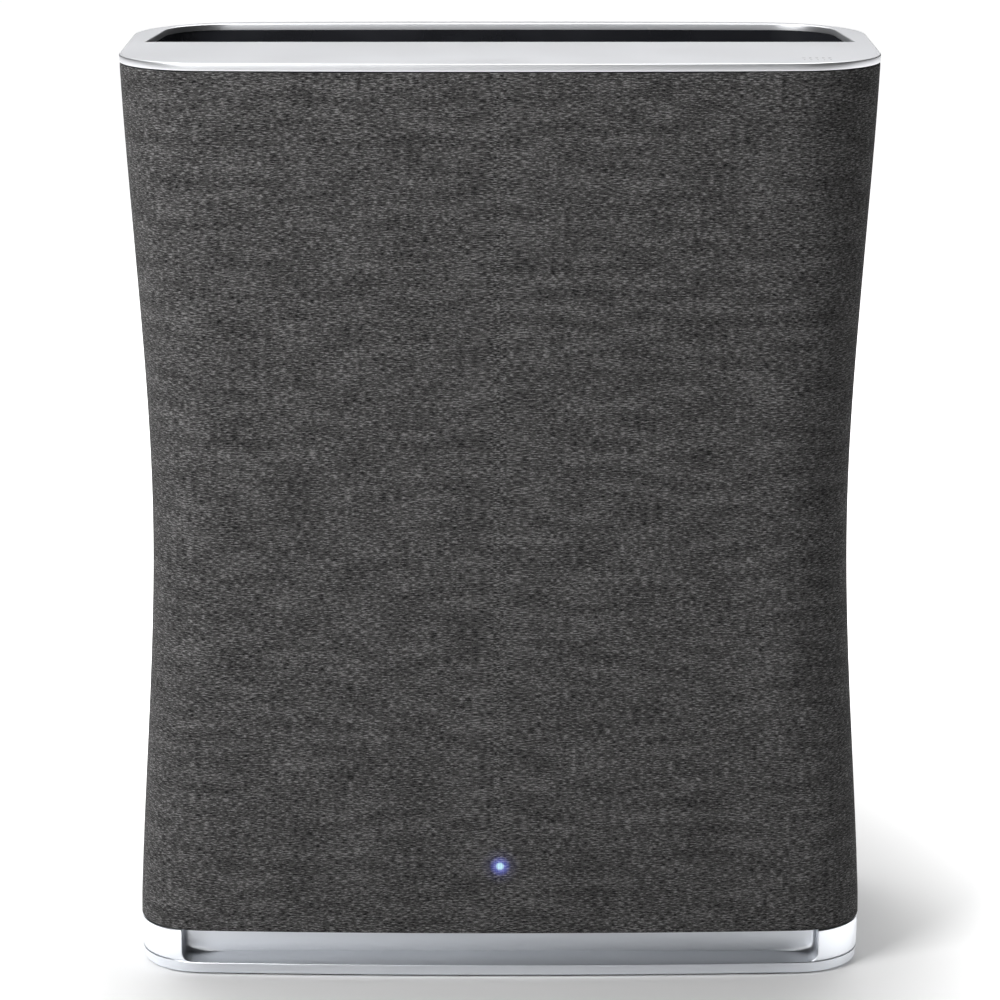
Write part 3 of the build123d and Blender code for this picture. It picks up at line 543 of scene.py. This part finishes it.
@dataclass(frozen=True)
class MelangeKnit(Finish):
    """A flat polyester knit spun from dark and pale fibres.

    The yarn changes shade every few stitches, which the eye reads as short level flecks over charcoal. The
    loops are about 0.9 mm across, and the nap scatters light at grazing angles.
    """

    dark: str = "131313"
    middle: str = "4a4949"
    pale: str = "8c8b8b"
    fleck: tuple[float, float] = (4.6, 0.8)
    fibre: tuple[float, float] = (0.45, 0.5)  # as shares of a fleck
    fibre_share: float = 0.38
    drift: tuple[float, float] = (38, 9)
    drift_share: float = 0.12
    stops: tuple[float, float, float, float] = (0.40, 0.48, 0.53, 0.62)
    loop: float = 0.9
    wale: float = 1.7  # a column's width, in loops
    relief: float = 0.22
    lamp: Size = (0.0, -0.1275, 0.078)
    halo: float = 13.0
    lit: bool = False

    def dress(self, tree: Tree, shader: Node) -> None:
        """Adds the flecks, the loops and, on the front, the light that comes through from behind."""
        sheet = add_node(tree, "ShaderNodeUVMap", uv_map="cloth")
        flecks = self.noise(tree, sheet, self.fleck, 3.0, 0.6)
        fibre = (self.fleck[0] * self.fibre[0], self.fleck[1] * self.fibre[1])
        fibres = self.noise(tree, sheet, fibre, 2.0, 0.5)
        drift = self.noise(tree, sheet, self.drift, 2.0, 0.5)
        shares = {0: self.fibre_share, 2: flecks, 3: fibres}
        blend = add_node(tree, "ShaderNodeMix", shares, data_type="FLOAT")
        shares = {0: self.drift_share, 2: blend.outputs[0], 3: drift}
        drifted = add_node(tree, "ShaderNodeMix", shares, data_type="FLOAT")
        ramp = add_node(tree, "ShaderNodeValToRGB", {"Fac": drifted.outputs[0]})
        shades = (self.dark, self.middle, self.middle, self.pale)
        set_ramp(ramp, [(stop, linear(shade)) for stop, shade in zip(self.stops, shades)])
        tree.links.new(ramp.outputs["Color"], shader.inputs["Base Color"])
        rows = self.wave(tree, sheet, "Y", self.loop)
        columns = self.wave(tree, sheet, "X", self.loop * self.wale)
        loops = add_node(tree, "ShaderNodeMath", {0: rows, 1: columns}, operation="MULTIPLY")
        height = add_node(tree, "ShaderNodeMath", {0: loops.outputs["Value"], 1: fibres}, operation="ADD")
        self.raise_bump(tree, shader, height.outputs["Value"], self.relief, 0.8)
        shader.inputs["Sheen Weight"].default_value = 0.04
        shader.inputs["Sheen Roughness"].default_value = 0.5
        shader.inputs["Specular IOR Level"].default_value = 0.15
        if self.lit:
            self.light_up(tree, shader, loops.outputs["Value"])

    def noise(
        self, tree: Tree, sheet: Node, size: tuple[float, float], detail: float, rough: float
    ) -> Socket:
        """Noise on the cloth's map.

        Args:
            tree: the material's node tree.
            sheet: the cloth's map.
            size: a fleck's length and height, in millimetres.
            detail: how many finer octaves it has.
            rough: how strong those are.

        Returns:
            The noise, around 0.5.
        """
        scale = (1 / (MM * size[0]), 1 / (MM * size[1]), 1)
        cells = add_node(tree, "ShaderNodeMapping", {"Vector": sheet.outputs["UV"], "Scale": scale})
        noise = add_node(
            tree,
            "ShaderNodeTexNoise",
            {"Vector": cells.outputs["Vector"], "Scale": 1.0, "Detail": detail, "Roughness": rough},
            noise_dimensions="2D",
        )
        return noise.outputs["Fac"]

    def wave(self, tree: Tree, sheet: Node, direction: str, period: float) -> Socket:
        """Rounded rows on the cloth's map, one every period, in millimetres."""
        cells = add_node(
            tree, "ShaderNodeMapping", {"Vector": sheet.outputs["UV"], "Scale": (1 / MM, 1 / MM, 1)}
        )
        rate = 2 * math.pi / (WAVE_RATE * period)
        given = {"Vector": cells.outputs["Vector"], "Scale": rate, "Distortion": 0.6}
        rows = add_node(tree, "ShaderNodeTexWave", given, bands_direction=direction)
        return rows.outputs["Fac"]

    def light_up(self, tree: Tree, shader: Node, loops: Socket) -> None:
        """Adds the status light's core and its faint halo, both broken up by the loops."""
        where = add_node(tree, "ShaderNodeTexCoord")
        places = {0: where.outputs["Object"], 1: self.lamp}
        away = add_node(tree, "ShaderNodeVectorMath", places, operation="DISTANCE")
        fade = {"From Min": 0.0, "From Max": self.halo * MM, "To Min": 1.0, "To Max": 0.0}
        shine = add_node(tree, "ShaderNodeMapRange", {"Value": away.outputs["Value"], **fade})
        ramp = add_node(tree, "ShaderNodeValToRGB", {"Fac": shine.outputs["Result"]})
        set_ramp(
            ramp,
            [
                (0.0, (0.0, 0.0, 0.0, 1.0)),
                (0.45, linear("1b1a33")),
                (0.76, linear("5a62b4")),
                (0.87, linear("c4f0ff")),
            ],
        )
        ends = {"From Min": 0.0, "From Max": 1.0, "To Min": 0.75, "To Max": 1.25}
        broken = add_node(tree, "ShaderNodeMapRange", {"Value": loops, **ends})
        tree.links.new(ramp.outputs["Color"], shader.inputs["Emission Color"])
        tree.links.new(broken.outputs["Result"], shader.inputs["Emission Strength"])


# the floor glows with painted light away from the product, and less far in front
PAINTED_GLOW_SWEEP = StudioSweep("white_sweep_with_painted_glow", "f2f2f2", 0.85)
TOP_ALUMINIUM = BlastedAluminium("anodised_aluminium_frame", "dedfe2", 0.41, metallic=1.0)
BASE_ALUMINIUM = BlastedAluminium("satin_anodised_aluminium", "dfe2e7", 0.36, metallic=1.0, relief=0.0015)
CAST_ALUMINIUM = BlastedAluminium(
    "die_cast_aluminium", "a9abae", 0.45, metallic=1.0, grain=1.2, relief=0.03
)
BLACK_ABS = MouldedPlastic("black_abs_grained", "1b1b1d", 0.5, dark="161618", light="202022")
BLACK_GLOSS = MouldedPlastic(
    "black_abs_polished", "26272b", 0.22, coat=0.5, grain=3.0, relief=0.004, dark="232428", light="2a2b30"
)
WHITE_ABS = MouldedPlastic("white_abs", "dcdcd8", 0.42, dark="d6d6d1", light="e2e2de")
GREY_NYLON = MouldedPlastic(
    "glass_filled_nylon", "3b3d40", 0.5, grain=1.4, relief=0.04, dark="333538", light="434548"
)
BLACK_WIRE = MouldedPlastic("powder_coated_wire", "1a1a1b", 0.45, grain=0.9, relief=0.04)
GLOSSY_CASES = MouldedPlastic("component_cases", "232326", 0.3, dark="1a1a1c", light="2d2d31")
INK = MouldedPlastic("filled_marks", "55575b", 0.45, grain=0.4, relief=0.01, dark="4c4e52", light="5f6165")
RUBBER = Rubber("moulded_rubber", "1a1a1b", 0.75)
ZINC = PlatedSteel("zinc_plated_steel", "a5a6a6", 0.3, metallic=1.0)
FERRITE = Sintered("sintered_ferrite", "343437", 0.5, metallic=0.3, layer=4.0)
LAMINATIONS = Sintered("stacked_laminations", "4a4a4e", 0.4, metallic=0.9)
COPPER = EnamelledWire("enamelled_copper_wire", "a4562c", 0.25, metallic=0.9)
PAPER = FilterPaper("glass_fibre_paper", "ebeae5", 0.9)
CARBON = CarbonGranules("carbon_granules", "1a1a1b", 0.6)
BOARD = SolderMask("solder_mask", "15532f", 0.33)
ACRYLIC = ClearAcrylic("clear_acrylic", "eef5ff", 0.1, glow="bfe6ff")
LENS = ClearAcrylic("clear_lens", "eef5ff", 0.1)
RIBBON = WovenRibbon("woven_ribbon", "244a90", 0.8)
FRONT_KNIT = MelangeKnit("melange_knit_front", "3f3e3e", 0.92, lit=True)
REAR_KNIT = MelangeKnit("melange_knit_rear", "3f3e3e", 0.92)


# ------------------------------------------------------------------ the body's form
@dataclass(frozen=True)
class BodyForm:
    """The waisted, slightly bowed outline that the covers follow, in metres."""

    height: float = 0.612
    waist_z: float = 0.300
    foot_z: float = 0.040
    top_half_width: float = 0.248
    waist_half_width: float = 0.2311
    foot_half_width: float = 0.243
    half_depth: float = 0.128
    bow_radius: float = 3.9
    flare: tuple[float, float] = (2.2, 1.2)  # how the sides swing out: steeper near the waist
    floor_corner: float = 0.045
    top_corner: float = 0.060  # the front corners; the rear ones open up to 0.076

    def half_width(self, z: float) -> float:
        """Half of the body's width at a height."""
        if z >= self.waist_z:
            share = (z - self.waist_z) / (self.height - self.waist_z)
            end = self.top_half_width
        else:
            share = min(1.0, (self.waist_z - z) / (self.waist_z - self.foot_z))
            end = self.foot_half_width
        swing = share * share * (self.flare[0] - self.flare[1] * share)
        return self.waist_half_width + (end - self.waist_half_width) * swing

    def quarter(self, z: float, inset: float) -> tuple[float, float, float, float, float, float]:
        """The numbers that fix a section's quarter: width, depth, corner radius and centre, bow angle.

        Args:
            z: height of the section.
            inset: how far the skin lies inside the body's face.

        Returns:
            Half width, half depth, corner radius, corner centre x and y, and the bow's half angle.
        """
        width = self.half_width(z) - inset
        depth = self.half_depth - inset
        corner = self.floor_corner + (self.top_corner - self.floor_corner) * z / self.height - inset
        radius = self.bow_radius - inset
        corner_x = width - corner
        centre_y = depth - radius
        corner_y = centre_y + math.sqrt((radius - corner) ** 2 - corner_x**2)
        return width, depth, corner, corner_x, corner_y, math.atan2(corner_x, corner_y - centre_y)

    def half_girth(self, z: float, inset: float, end_y: float) -> float:
        """Length of the face from its middle round one corner to a straight side's end.

        Args:
            z: height of the section.
            inset: how far the skin lies inside the body's face.
            end_y: y of the side's end, positive on this face's side of the middle.

        Returns:
            The length in metres.
        """
        _, _, corner, _, corner_y, angle = self.quarter(z, inset)
        return (self.bow_radius - inset) * angle + corner * (math.pi / 2 - angle) + corner_y - end_y

    def point(self, along: float, z: float, inset: float) -> Vector:
        """A point on the rear face and its side, measured from the face's middle.

        Args:
            along: signed length along the outline from x = 0, towards +X.
            z: height of the section.
            inset: how far the skin lies inside the body's face.

        Returns:
            The point, with y positive on this face.
        """
        width, depth, corner, corner_x, corner_y, angle = self.quarter(z, inset)
        radius = self.bow_radius - inset
        side = 1.0 if along >= 0 else -1.0
        along = abs(along)
        bow = radius * angle
        turn = corner * (math.pi / 2 - angle)
        if along <= bow:
            tilt = along / radius
            return Vector((side * radius * math.sin(tilt), depth - radius + radius * math.cos(tilt), z))
        if along <= bow + turn:
            tilt = angle + (along - bow) / corner
            return Vector(
                (side * (corner_x + corner * math.sin(tilt)), corner_y + corner * math.cos(tilt), z)
            )
        return Vector((side * width, corner_y - (along - bow - turn), z))


FRONT_FORM = BodyForm()
REAR_FORM = BodyForm(top_corner=0.076)


class Face(Enum):
    """Which way a cover faces: the sign of its Y."""

    FRONT = -1
    REAR = 1

    @property
    def form(self) -> BodyForm:
        """The outline on this side of the body."""
        return FRONT_FORM if self is Face.FRONT else REAR_FORM


# ------------------------------------------------------------------ sub-assemblies
@dataclass
class TextileCover:
    """A knitted skin pulled over one cover and turned in at its edges."""

    name: str
    body: str
    node: str
    face: Face
    finish: Finish
    end_y: float  # y of its side edges, positive towards its own face
    bottom: float = 0.031
    top: float = 0.6063
    turn_in: float = 0.0011
    thickness: float = 0.0004
    columns: int = 132
    rows: int = 46
    hem_share: float = 2.2  # share of the half girth that a metre of hem takes
    flat_z: float = 0.55  # where its flat width is measured

    def edge_steps(self) -> list[tuple[float, float]]:
        """Steps of the turned-in hem: distance from the edge and inset, both in metres."""
        return [
            (0.0009, self.turn_in),
            (0.0002, self.turn_in * 0.75),
            (0.0, self.turn_in * 0.36),
            (0.0004, self.turn_in * 0.08),
            (0.0013, 0.0),
        ]

    def levels(self) -> list[tuple[float, float]]:
        """Height and inset of each row, from the lower hem to the upper one."""
        low = [(self.bottom + away, inset) for away, inset in self.edge_steps()]
        high = [(self.top - away, inset) for away, inset in reversed(self.edge_steps())]
        start, end = low[-1][0], high[0][0]
        middle = [(start + (end - start) * row / self.rows, 0.0) for row in range(1, self.rows)]
        return low + middle + high

    def build(self) -> Piece:
        """Extrudes the skin upwards row by row and sets every row on the body's outline.

        Returns:
            The textile piece.
        """
        form = self.face.form
        mesh = bmesh.new()
        layer = mesh.loops.layers.uv.new("cloth")
        rows, places = [], []
        for z, inset in self.levels():
            girth = form.half_girth(z, inset, self.end_y)
            spots = [form.point(share * girth, z, inset + tuck) for share, tuck in self.shares()]
            rows.append([Vector((spot.x, spot.y * self.face.value, z)) for spot in spots])
            places += [(share * girth, z) for share, _ in self.shares()]
        raise_rows(mesh, rows, False)
        mesh.verts.index_update()
        for face in mesh.faces:
            for loop in face.loops:
                loop[layer].uv = places[loop.vert.index]
        bmesh.ops.recalc_face_normals(mesh, faces=mesh.faces)
        centre = Vector((0, self.face.value * 0.12, 0.3))
        middle = min(mesh.faces, key=lambda face: (face.calc_center_median() - centre).length)
        if middle.normal.y * self.face.value < 0:
            bmesh.ops.reverse_faces(mesh, faces=mesh.faces)
        piece = finish_mesh(mesh, self.name, self.body, self.finish)
        thicken(piece, self.thickness, -1.0)
        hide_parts(self.node)
        flat = (2 * form.half_girth(self.flat_z, 0, self.end_y), self.top - self.bottom)
        return piece

    def shares(self) -> list[tuple[float, float]]:
        """Share of the half girth and extra tuck of each column, with both side hems turned in."""
        hem = [(1.0 - away * self.hem_share, inset) for away, inset in self.edge_steps()]
        end = hem[-1][0]
        inner = [(-end + 2 * end * column / self.columns, 0.0) for column in range(1, self.columns)]
        return [(-share, tuck) for share, tuck in hem] + inner + list(reversed(hem))


@dataclass
class TopFrame:
    """The aluminium top: a thin ring with a fine bright bevel round its rim and round the air slot."""

    node: str = "top_frame"
    top: float = 0.61196  # a hair under the marks, which then stand on it
    slot_front: float = 0.0
    slot_back: float = 0.1135
    slot_half_width: float = 0.2364
    slot_taper: float = 0.0110
    slot_bow: float = 0.0030
    slot_corner: float = 0.0420
    corner_sag: float = 0.9  # share of the bow at which the rear corners sit
    corner_stop: float = 0.012  # how far short of square their arc ends, in radians
    corner_steps: int = 16
    back_steps: int = 20
    front_steps: int = 8
    columns: int = 56

    def rim(self, inset: float, z: float) -> list[Vector]:
        """The outer outline, closed, at an inset and a height."""
        shares = [step / self.columns - 1 for step in range(2 * self.columns)]
        spots = []
        for face in (Face.REAR, Face.FRONT):
            girth = face.form.half_girth(face.form.height, inset, 0.0)
            half = [face.form.point(share * girth, face.form.height, inset) for share in shares]
            spots += [Vector((spot.x * face.value, spot.y * face.value, z)) for spot in half]
        return spots

    def slot(self, grow: float, z: float) -> list[Vector]:
        """The air slot's outline, closed, grown outwards and set at a height."""
        front, back = self.slot_front - grow, self.slot_back + grow
        front_x = self.slot_half_width + grow
        back_x = front_x - self.slot_taper
        radius = self.slot_corner + grow
        side = Vector((back_x - front_x, back - self.slot_bow - front)).normalized()
        out = Vector((side.y, -side.x))
        centre_y = back - self.slot_bow * self.corner_sag - radius
        run = (centre_y - front + radius * out.y) / side.y
        touch = Vector((front_x, front)) + side * run
        centre = touch - out * radius
        start, end = math.atan2(out.y, out.x), math.pi / 2 - self.corner_stop
        turn = [start + (end - start) * step / self.corner_steps for step in range(self.corner_steps + 1)]
        right = [Vector((front_x, front)), Vector((front_x, front)) + side * run * 0.5]
        right += [centre + radius * Vector((math.cos(t), math.sin(t))) for t in turn]
        sag = right[-1]
        for step in range(1, self.back_steps):
            x = sag.x * (1 - step / self.back_steps)
            right.append(Vector((x, back - (back - sag.y) * (x / sag.x) ** 2)))
        flat = [Vector((front_x * step / self.front_steps, front)) for step in range(1, self.front_steps)]
        half = flat + right
        mirrored = [Vector((-v.x, v.y)) for v in reversed(half)]
        loop = [Vector((0, front))] + half + [Vector((0, back))] + mirrored
        return [Vector((v.x, v.y, z)) for v in loop]

    def build(self) -> Piece:
        """Raises the rim and the slot's wall, then fills the flats between them.

        Returns:
            The frame.
        """
        top = self.top
        outer = [(0.0024, 0.6077), (0.0024, 0.6070), (0.0006, 0.6070), (0.00018, 0.60715), (0.0, 0.6075)]
        outer += [(0.0, top - 0.0008), (0.0001, top - 0.00045), (0.00045, top - 0.0001)]
        outer += [(0.0008, top), (0.0011, top)]
        inner = [(0.0012, top), (0.0009, top), (0.0005, top - 0.0001), (0.0001, top - 0.0005)]
        inner += [(0.0, top - 0.0009), (0.0, 0.6077)]
        mesh = bmesh.new()
        low_rim, high_rim = raise_rows(mesh, [self.rim(inset, z) for inset, z in outer], True)
        high_slot, low_slot = raise_rows(mesh, [self.slot(grow, z) for grow, z in inner], True)
        cap(mesh, high_rim + high_slot, 1.0)
        cap(mesh, low_rim + low_slot, -1.0)
        crease(mesh)
        frame_piece = finish_mesh(mesh, "top_frame_ring", "housing", TOP_ALUMINIUM)
        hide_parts(self.node)
        return frame_piece


@dataclass
class AluminiumBase:
    """The aluminium foot: a plate with an undercut edge, and a tier recessed between its four corners."""

    node: str = "base_frame"
    underside: float = 0.0012
    plate_top: float = 0.0085
    tier_top: float = 0.0300
    recess_x: float = 0.2130
    recess_y: float = 0.0980
    fillet: float = 0.0060
    inset: float = 0.0006
    inner_radius: float = 0.0035
    tip_radius: float = 0.0012
    weld: float = 0.00002
    columns: int = 60

    def plate(self) -> Piece:
        """Raises the plate's edge and closes it above and below.

        Returns:
            The plate.
        """
        form = FRONT_FORM
        steps = [
            (0.0048, self.underside),
            (0.0020, self.underside),
            (0.0017, self.underside + 0.0003),
            (0.0010, self.plate_top - 0.0010),
            (0.0007, self.plate_top - 0.0004),
            (0.0009, self.plate_top - 0.0001),
            (0.0013, self.plate_top),
            (0.0016, self.plate_top),
            (0.0400, self.plate_top),
        ]
        rows = []
        for inset, z in steps:
            girth = form.half_girth(0.0, inset, 0.0)
            shares = [-1 + step / self.columns for step in range(2 * self.columns)]
            half = [form.point(share * girth, 0.0, inset) for share in shares]
            spots = half + [Vector((-spot.x, -spot.y, 0)) for spot in half]
            rows.append([Vector((spot.x, spot.y, z)) for spot in spots])
        mesh = bmesh.new()
        low, high = raise_rows(mesh, rows, True)
        cap(mesh, low, -1.0)
        cap(mesh, high, 1.0)
        crease(mesh)
        return finish_mesh(mesh, "base_plate_edge", "housing", BASE_ALUMINIUM)

    def quarter_path(self, flare: float, tuck: float, z: float) -> list[Vector]:
        """One quarter of the tier's outline at a height: recess wall, return wall, corner and side.

        Args:
            flare: how far the return wall leans in over its fillet.
            tuck: how far the outer wall is set in.
            z: the height.

        Returns:
            The points, from the recess's middle to the side's middle.
        """
        form = FRONT_FORM
        inset = self.inset + tuck
        wall_x = self.recess_x - flare
        girth = form.half_girth(self.tier_top, inset, 0.0)
        low, high = 0.0, girth
        for _ in range(30):
            middle = (low + high) / 2
            if form.point(middle, self.tier_top, inset).x < wall_x:
                low = middle
            else:
                high = middle
        alongs = [low + (girth - low) * step / self.columns for step in range(self.columns + 1)]
        corner = [form.point(along, self.tier_top, inset) for along in alongs]
        spots = [Vector((wall_x * step / 10, self.recess_y, 0)) for step in range(11)]
        reach = corner[0].y - self.recess_y
        spots += [Vector((wall_x, self.recess_y + reach * step / 4, 0)) for step in range(1, 4)]
        spots += corner
        return [Vector((spot.x, -spot.y, z)) for spot in spots]

    def tier(self) -> Piece:
        """Raises one quarter of the tier, mirrors it twice, rounds its upright corners and caps it.

        Returns:
            The tier.
        """
        rows = []
        for step in range(7):
            angle = math.pi / 2 * step / 6
            flare = self.fillet * (1 - math.sin(angle))
            z = self.plate_top + self.fillet * (1 - math.cos(angle))
            rows.append(self.quarter_path(flare, 0.0006 * (1 - math.sin(angle)), z))
        rows += [self.quarter_path(0.0, 0.0, z) for z in (0.020, self.tier_top - 0.0006)]
        rows += [self.quarter_path(0.0, 0.0005, self.tier_top)]
        mesh = bmesh.new()
        raise_rows(mesh, rows, False)
        for axis in ("X", "Y"):
            whole = mesh.verts[:] + mesh.edges[:] + mesh.faces[:]
            bmesh.ops.mirror(mesh, geom=whole, axis=axis, merge_dist=self.weld)
        bmesh.ops.remove_doubles(mesh, verts=mesh.verts, dist=self.weld)
        bmesh.ops.recalc_face_normals(mesh, faces=mesh.faces)
        for inner, radius in ((True, self.inner_radius), (False, self.tip_radius)):
            bmesh.ops.bevel(
                mesh,
                geom=self.uprights(mesh, inner),
                offset=radius,
                offset_type="OFFSET",
                affect="EDGES",
                segments=4,
                profile=0.5,
                material=-1,
            )
        rim = [e for e in mesh.edges if len(e.link_faces) == 1 and e.verts[0].co.z > self.tier_top - 0.0001]
        cap(mesh, rim, 1.0)
        crease(mesh)
        return finish_mesh(mesh, "base_tier", "housing", BASE_ALUMINIUM)

    def uprights(self, mesh: Mesh, inner: bool) -> Edges:
        """The upright edges at the recess's inner corners, or at the tips of its return walls."""
        found = []
        for edge in mesh.edges:
            low, high = sorted((vert.co for vert in edge.verts), key=lambda spot: spot.z)
            if high.z - low.z < 0.0001 or len(edge.link_faces) != 2:
                continue
            if edge.calc_face_angle(0.0) < math.radians(40):
                continue
            at_wall = all(abs(abs(spot.y) - self.recess_y) < 0.0003 for spot in (low, high))
            if at_wall == inner:
                found.append(edge)
        return found

    def build(self) -> list[Piece]:
        """Builds both tiers of the foot."""
        pieces = [self.plate(), self.tier()]
        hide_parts(self.node)
        return pieces


@dataclass
class PullTabs:
    """Two ribbon loops that the filter cassette is drawn out by."""

    node: str = "filter_pull_tabs"
    length: float = 0.044
    width: float = 0.020
    thickness: float = 0.00035
    slack: float = 0.0004

    def build(self) -> list[Piece]:
        """Lays a narrow grid on each tab's box, crowns it and gives it thickness.

        Returns:
            The ribbons.
        """
        low, high = (Vector(corner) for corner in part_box(self.node))
        made = []
        for name, x_from, x_to in (
            ("pull_ribbon_left", low.x, low.x + self.length),
            ("pull_ribbon_right", high.x - self.length, high.x),
        ):
            mesh = bmesh.new()
            bmesh.ops.create_grid(mesh, x_segments=24, y_segments=8, size=0.5)
            layer = mesh.loops.layers.uv.new("cloth")
            bmesh.ops.scale(mesh, vec=(x_to - x_from, self.width, 1), verts=mesh.verts)
            for face in mesh.faces:
                for loop in face.loops:
                    loop[layer].uv = loop.vert.co.xy
            for vert in mesh.verts:
                share = (vert.co.x / (x_to - x_from)) * 2
                vert.co.z = self.slack * (1 - share * share)
            bmesh.ops.rotate(mesh, matrix=Matrix.Rotation(math.pi / 2, 3, "X"), verts=mesh.verts)
            centre = Vector(((x_from + x_to) / 2, high.y - 0.0002, (low.z + high.z) / 2))
            bmesh.ops.translate(mesh, vec=centre, verts=mesh.verts)
            ribbon = finish_mesh(mesh, name, "filter", RIBBON)
            thicken(ribbon, self.thickness, 1.0)
            made.append(ribbon)
        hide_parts(self.node)
        return made


@dataclass
class KeptParts:
    """The CAD pieces whose shape is right, by the real finish that each one gets."""

    finishes: dict[Finish, tuple[str, ...]]

    def dress(self) -> None:
        """Puts each finish into its nodes' material slots."""
        for finish, nodes in self.finishes.items():
            for node in nodes:
                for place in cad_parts[node].material_slots:
                    place.material = finish.material()
                LOG.info("node %s is %s", node, finish.name)


KEPT = KeptParts(
    {
        RUBBER: ("rubber_feet", "filter_gasket"),
        BLACK_ABS: (
            *("bottom_tray", "top_carrier", "mid_frame", "fan_scroll", "rear_plate", "inlet_ring"),
            *("outlet_grille", "front_cover_panel", "front_cover_left_wing", "front_cover_right_wing"),
            *("rear_cover_shell", "catch_brackets"),
        ),
        BLACK_GLOSS: ("mains_inlet", "outlet_duct", "sensor_grille"),
        BLACK_WIRE: ("inlet_guard",),
        GREY_NYLON: ("impeller_wheel", "impeller_shroud"),
        WHITE_ABS: ("sensor_module", "filter_frame", "light_bracket"),
        ZINC: (
            *("base_screws", "top_frame_screws", "motor_screws", "motor_bearings", "motor_shaft"),
            *("rotor_can", "inlet_pins", "catch_plates"),
        ),
        FERRITE: ("rotor_magnets", "cover_magnets"),
        LAMINATIONS: ("motor_laminations",),
        COPPER: ("motor_windings",),
        CAST_ALUMINIUM: ("motor_mount",),
        PAPER: ("hepa_pleats",),
        CARBON: ("carbon_core",),
        INK: ("touch_symbols",),
        LENS: ("indicator_lenses",),
        ACRYLIC: ("status_light_pipe",),
        BOARD: ("touch_board", "power_board", "status_light_board"),
        GLOSSY_CASES: ("board_components",),
    }
)


# ------------------------------------------------------------------ studio
@dataclass
class Studio:
    """A pale floor, broad soft lamps and the camera."""

    camera_at: Size = (0.0, -2.686, 0.912)
    pitch: float = 0.2245
    lens: float = 145.03
    floor_size: float = 40.0
    sky_y: tuple[float, float] = (-0.2, 0.7)  # the sky brightens towards the back
    sky_y_strength: tuple[float, float] = (0.05, 0.78)
    sky_x: tuple[float, float] = (-0.9, 0.25)  # and is brighter on the left
    sky_x_strength: tuple[float, float] = (0.42, 0.0)

    def build(self) -> None:
        """Sets up the floor, the sky, the lamps, the white card and the camera."""
        self.lay_floor()
        self.light_sky()
        self.hang_lamp("lamp_overhead", (-0.1, 0.95, 2.55), 2.6, 72.0)
        self.hang_lamp("lamp_front_left", (-1.0, -1.15, 1.55), 0.8, 28.0)
        self.stand_card("white_card", (3.4, 2.2), (-1.74, -3.6, 1.1))
        self.place_camera()

    def lay_floor(self) -> None:
        """Lays a large white floor."""
        mesh = bmesh.new()
        bmesh.ops.create_grid(mesh, x_segments=1, y_segments=1, size=self.floor_size / 2)
        add_mesh(mesh, "floor", PAINTED_GLOW_SWEEP)

    def light_sky(self) -> None:
        """Makes the world bright behind the product and on its left, and dim in front of it."""
        world = bpy.data.worlds.new("studio")
        world.use_nodes = True
        tree = world.node_tree
        sky = tree.nodes["Background"]
        where = add_node(tree, "ShaderNodeTexCoord")
        axes = add_node(tree, "ShaderNodeSeparateXYZ", {"Vector": where.outputs["Generated"]})
        parts = {}
        for number, (axis, (start, end), (low, high)) in enumerate(
            (("Y", self.sky_y, self.sky_y_strength), ("X", self.sky_x, self.sky_x_strength))
        ):
            ends = {"From Min": start, "From Max": end, "To Min": low, "To Max": high}
            share = add_node(
                tree,
                "ShaderNodeMapRange",
                {"Value": axes.outputs[axis], **ends},
                interpolation_type="SMOOTHSTEP",
            )
            parts[number] = share.outputs["Result"]
        both = add_node(tree, "ShaderNodeMath", parts, operation="ADD", use_clamp=True)
        tree.links.new(both.outputs["Value"], sky.inputs["Strength"])
        bpy.context.scene.world = world

    def hang_lamp(self, name: str, place: Size, size: float, watts: float) -> None:
        """Hangs a square soft lamp aimed at the body's middle."""
        data = bpy.data.lights.new(name, "AREA")
        data.size = size
        data.energy = watts
        lamp = add_object(name, data)
        lamp.location = place
        lamp.rotation_euler = (Vector((0, 0, 0.3)) - Vector(place)).to_track_quat("-Z", "Y").to_euler()

    def stand_card(self, name: str, size: tuple[float, float], place: Size) -> None:
        """Stands a lit card in front, which shows only in reflections.

        Args:
            name: the card's name.
            size: its width and height in metres.
            place: its middle.
        """
        mesh = bmesh.new()
        bmesh.ops.create_grid(mesh, x_segments=1, y_segments=1, size=0.5)
        bmesh.ops.scale(mesh, vec=(*size, 1), verts=mesh.verts)
        bmesh.ops.rotate(mesh, matrix=Matrix.Rotation(math.pi / 2, 3, "X"), verts=mesh.verts)
        bmesh.ops.translate(mesh, vec=place, verts=mesh.verts)
        card = add_mesh(mesh, name, LitCard("lit_card", "ffffff", 0.9))
        card.visible_camera = False
        card.visible_diffuse = False

    def place_camera(self) -> None:
        """Places the camera level with its left-right axis and pitched down."""
        data = bpy.data.cameras.new("camera")
        data.lens = self.lens
        data.sensor_width = 36.0
        camera = add_object("camera", data)
        camera.location = self.camera_at
        camera.rotation_euler = (math.pi / 2 - self.pitch, 0.0, 0.0)
        bpy.context.scene.camera = camera


def main() -> None:
    """Builds the studio and every piece."""
    logging.basicConfig(level=logging.INFO, format="%(name)s: %(message)s")
    bpy.context.scene.view_settings.view_transform = "Standard"
    Studio().build()
    KEPT.dress()
    TextileCover("front_textile", "front_cover", "front_fabric", Face.FRONT, FRONT_KNIT, -0.050).build()
    TextileCover("rear_textile", "housing", "rear_fabric", Face.REAR, REAR_KNIT, 0.0504).build()
    PullTabs().build()
    TopFrame().build()
    AluminiumBase().build()


if __name__ == "__main__":
    main()
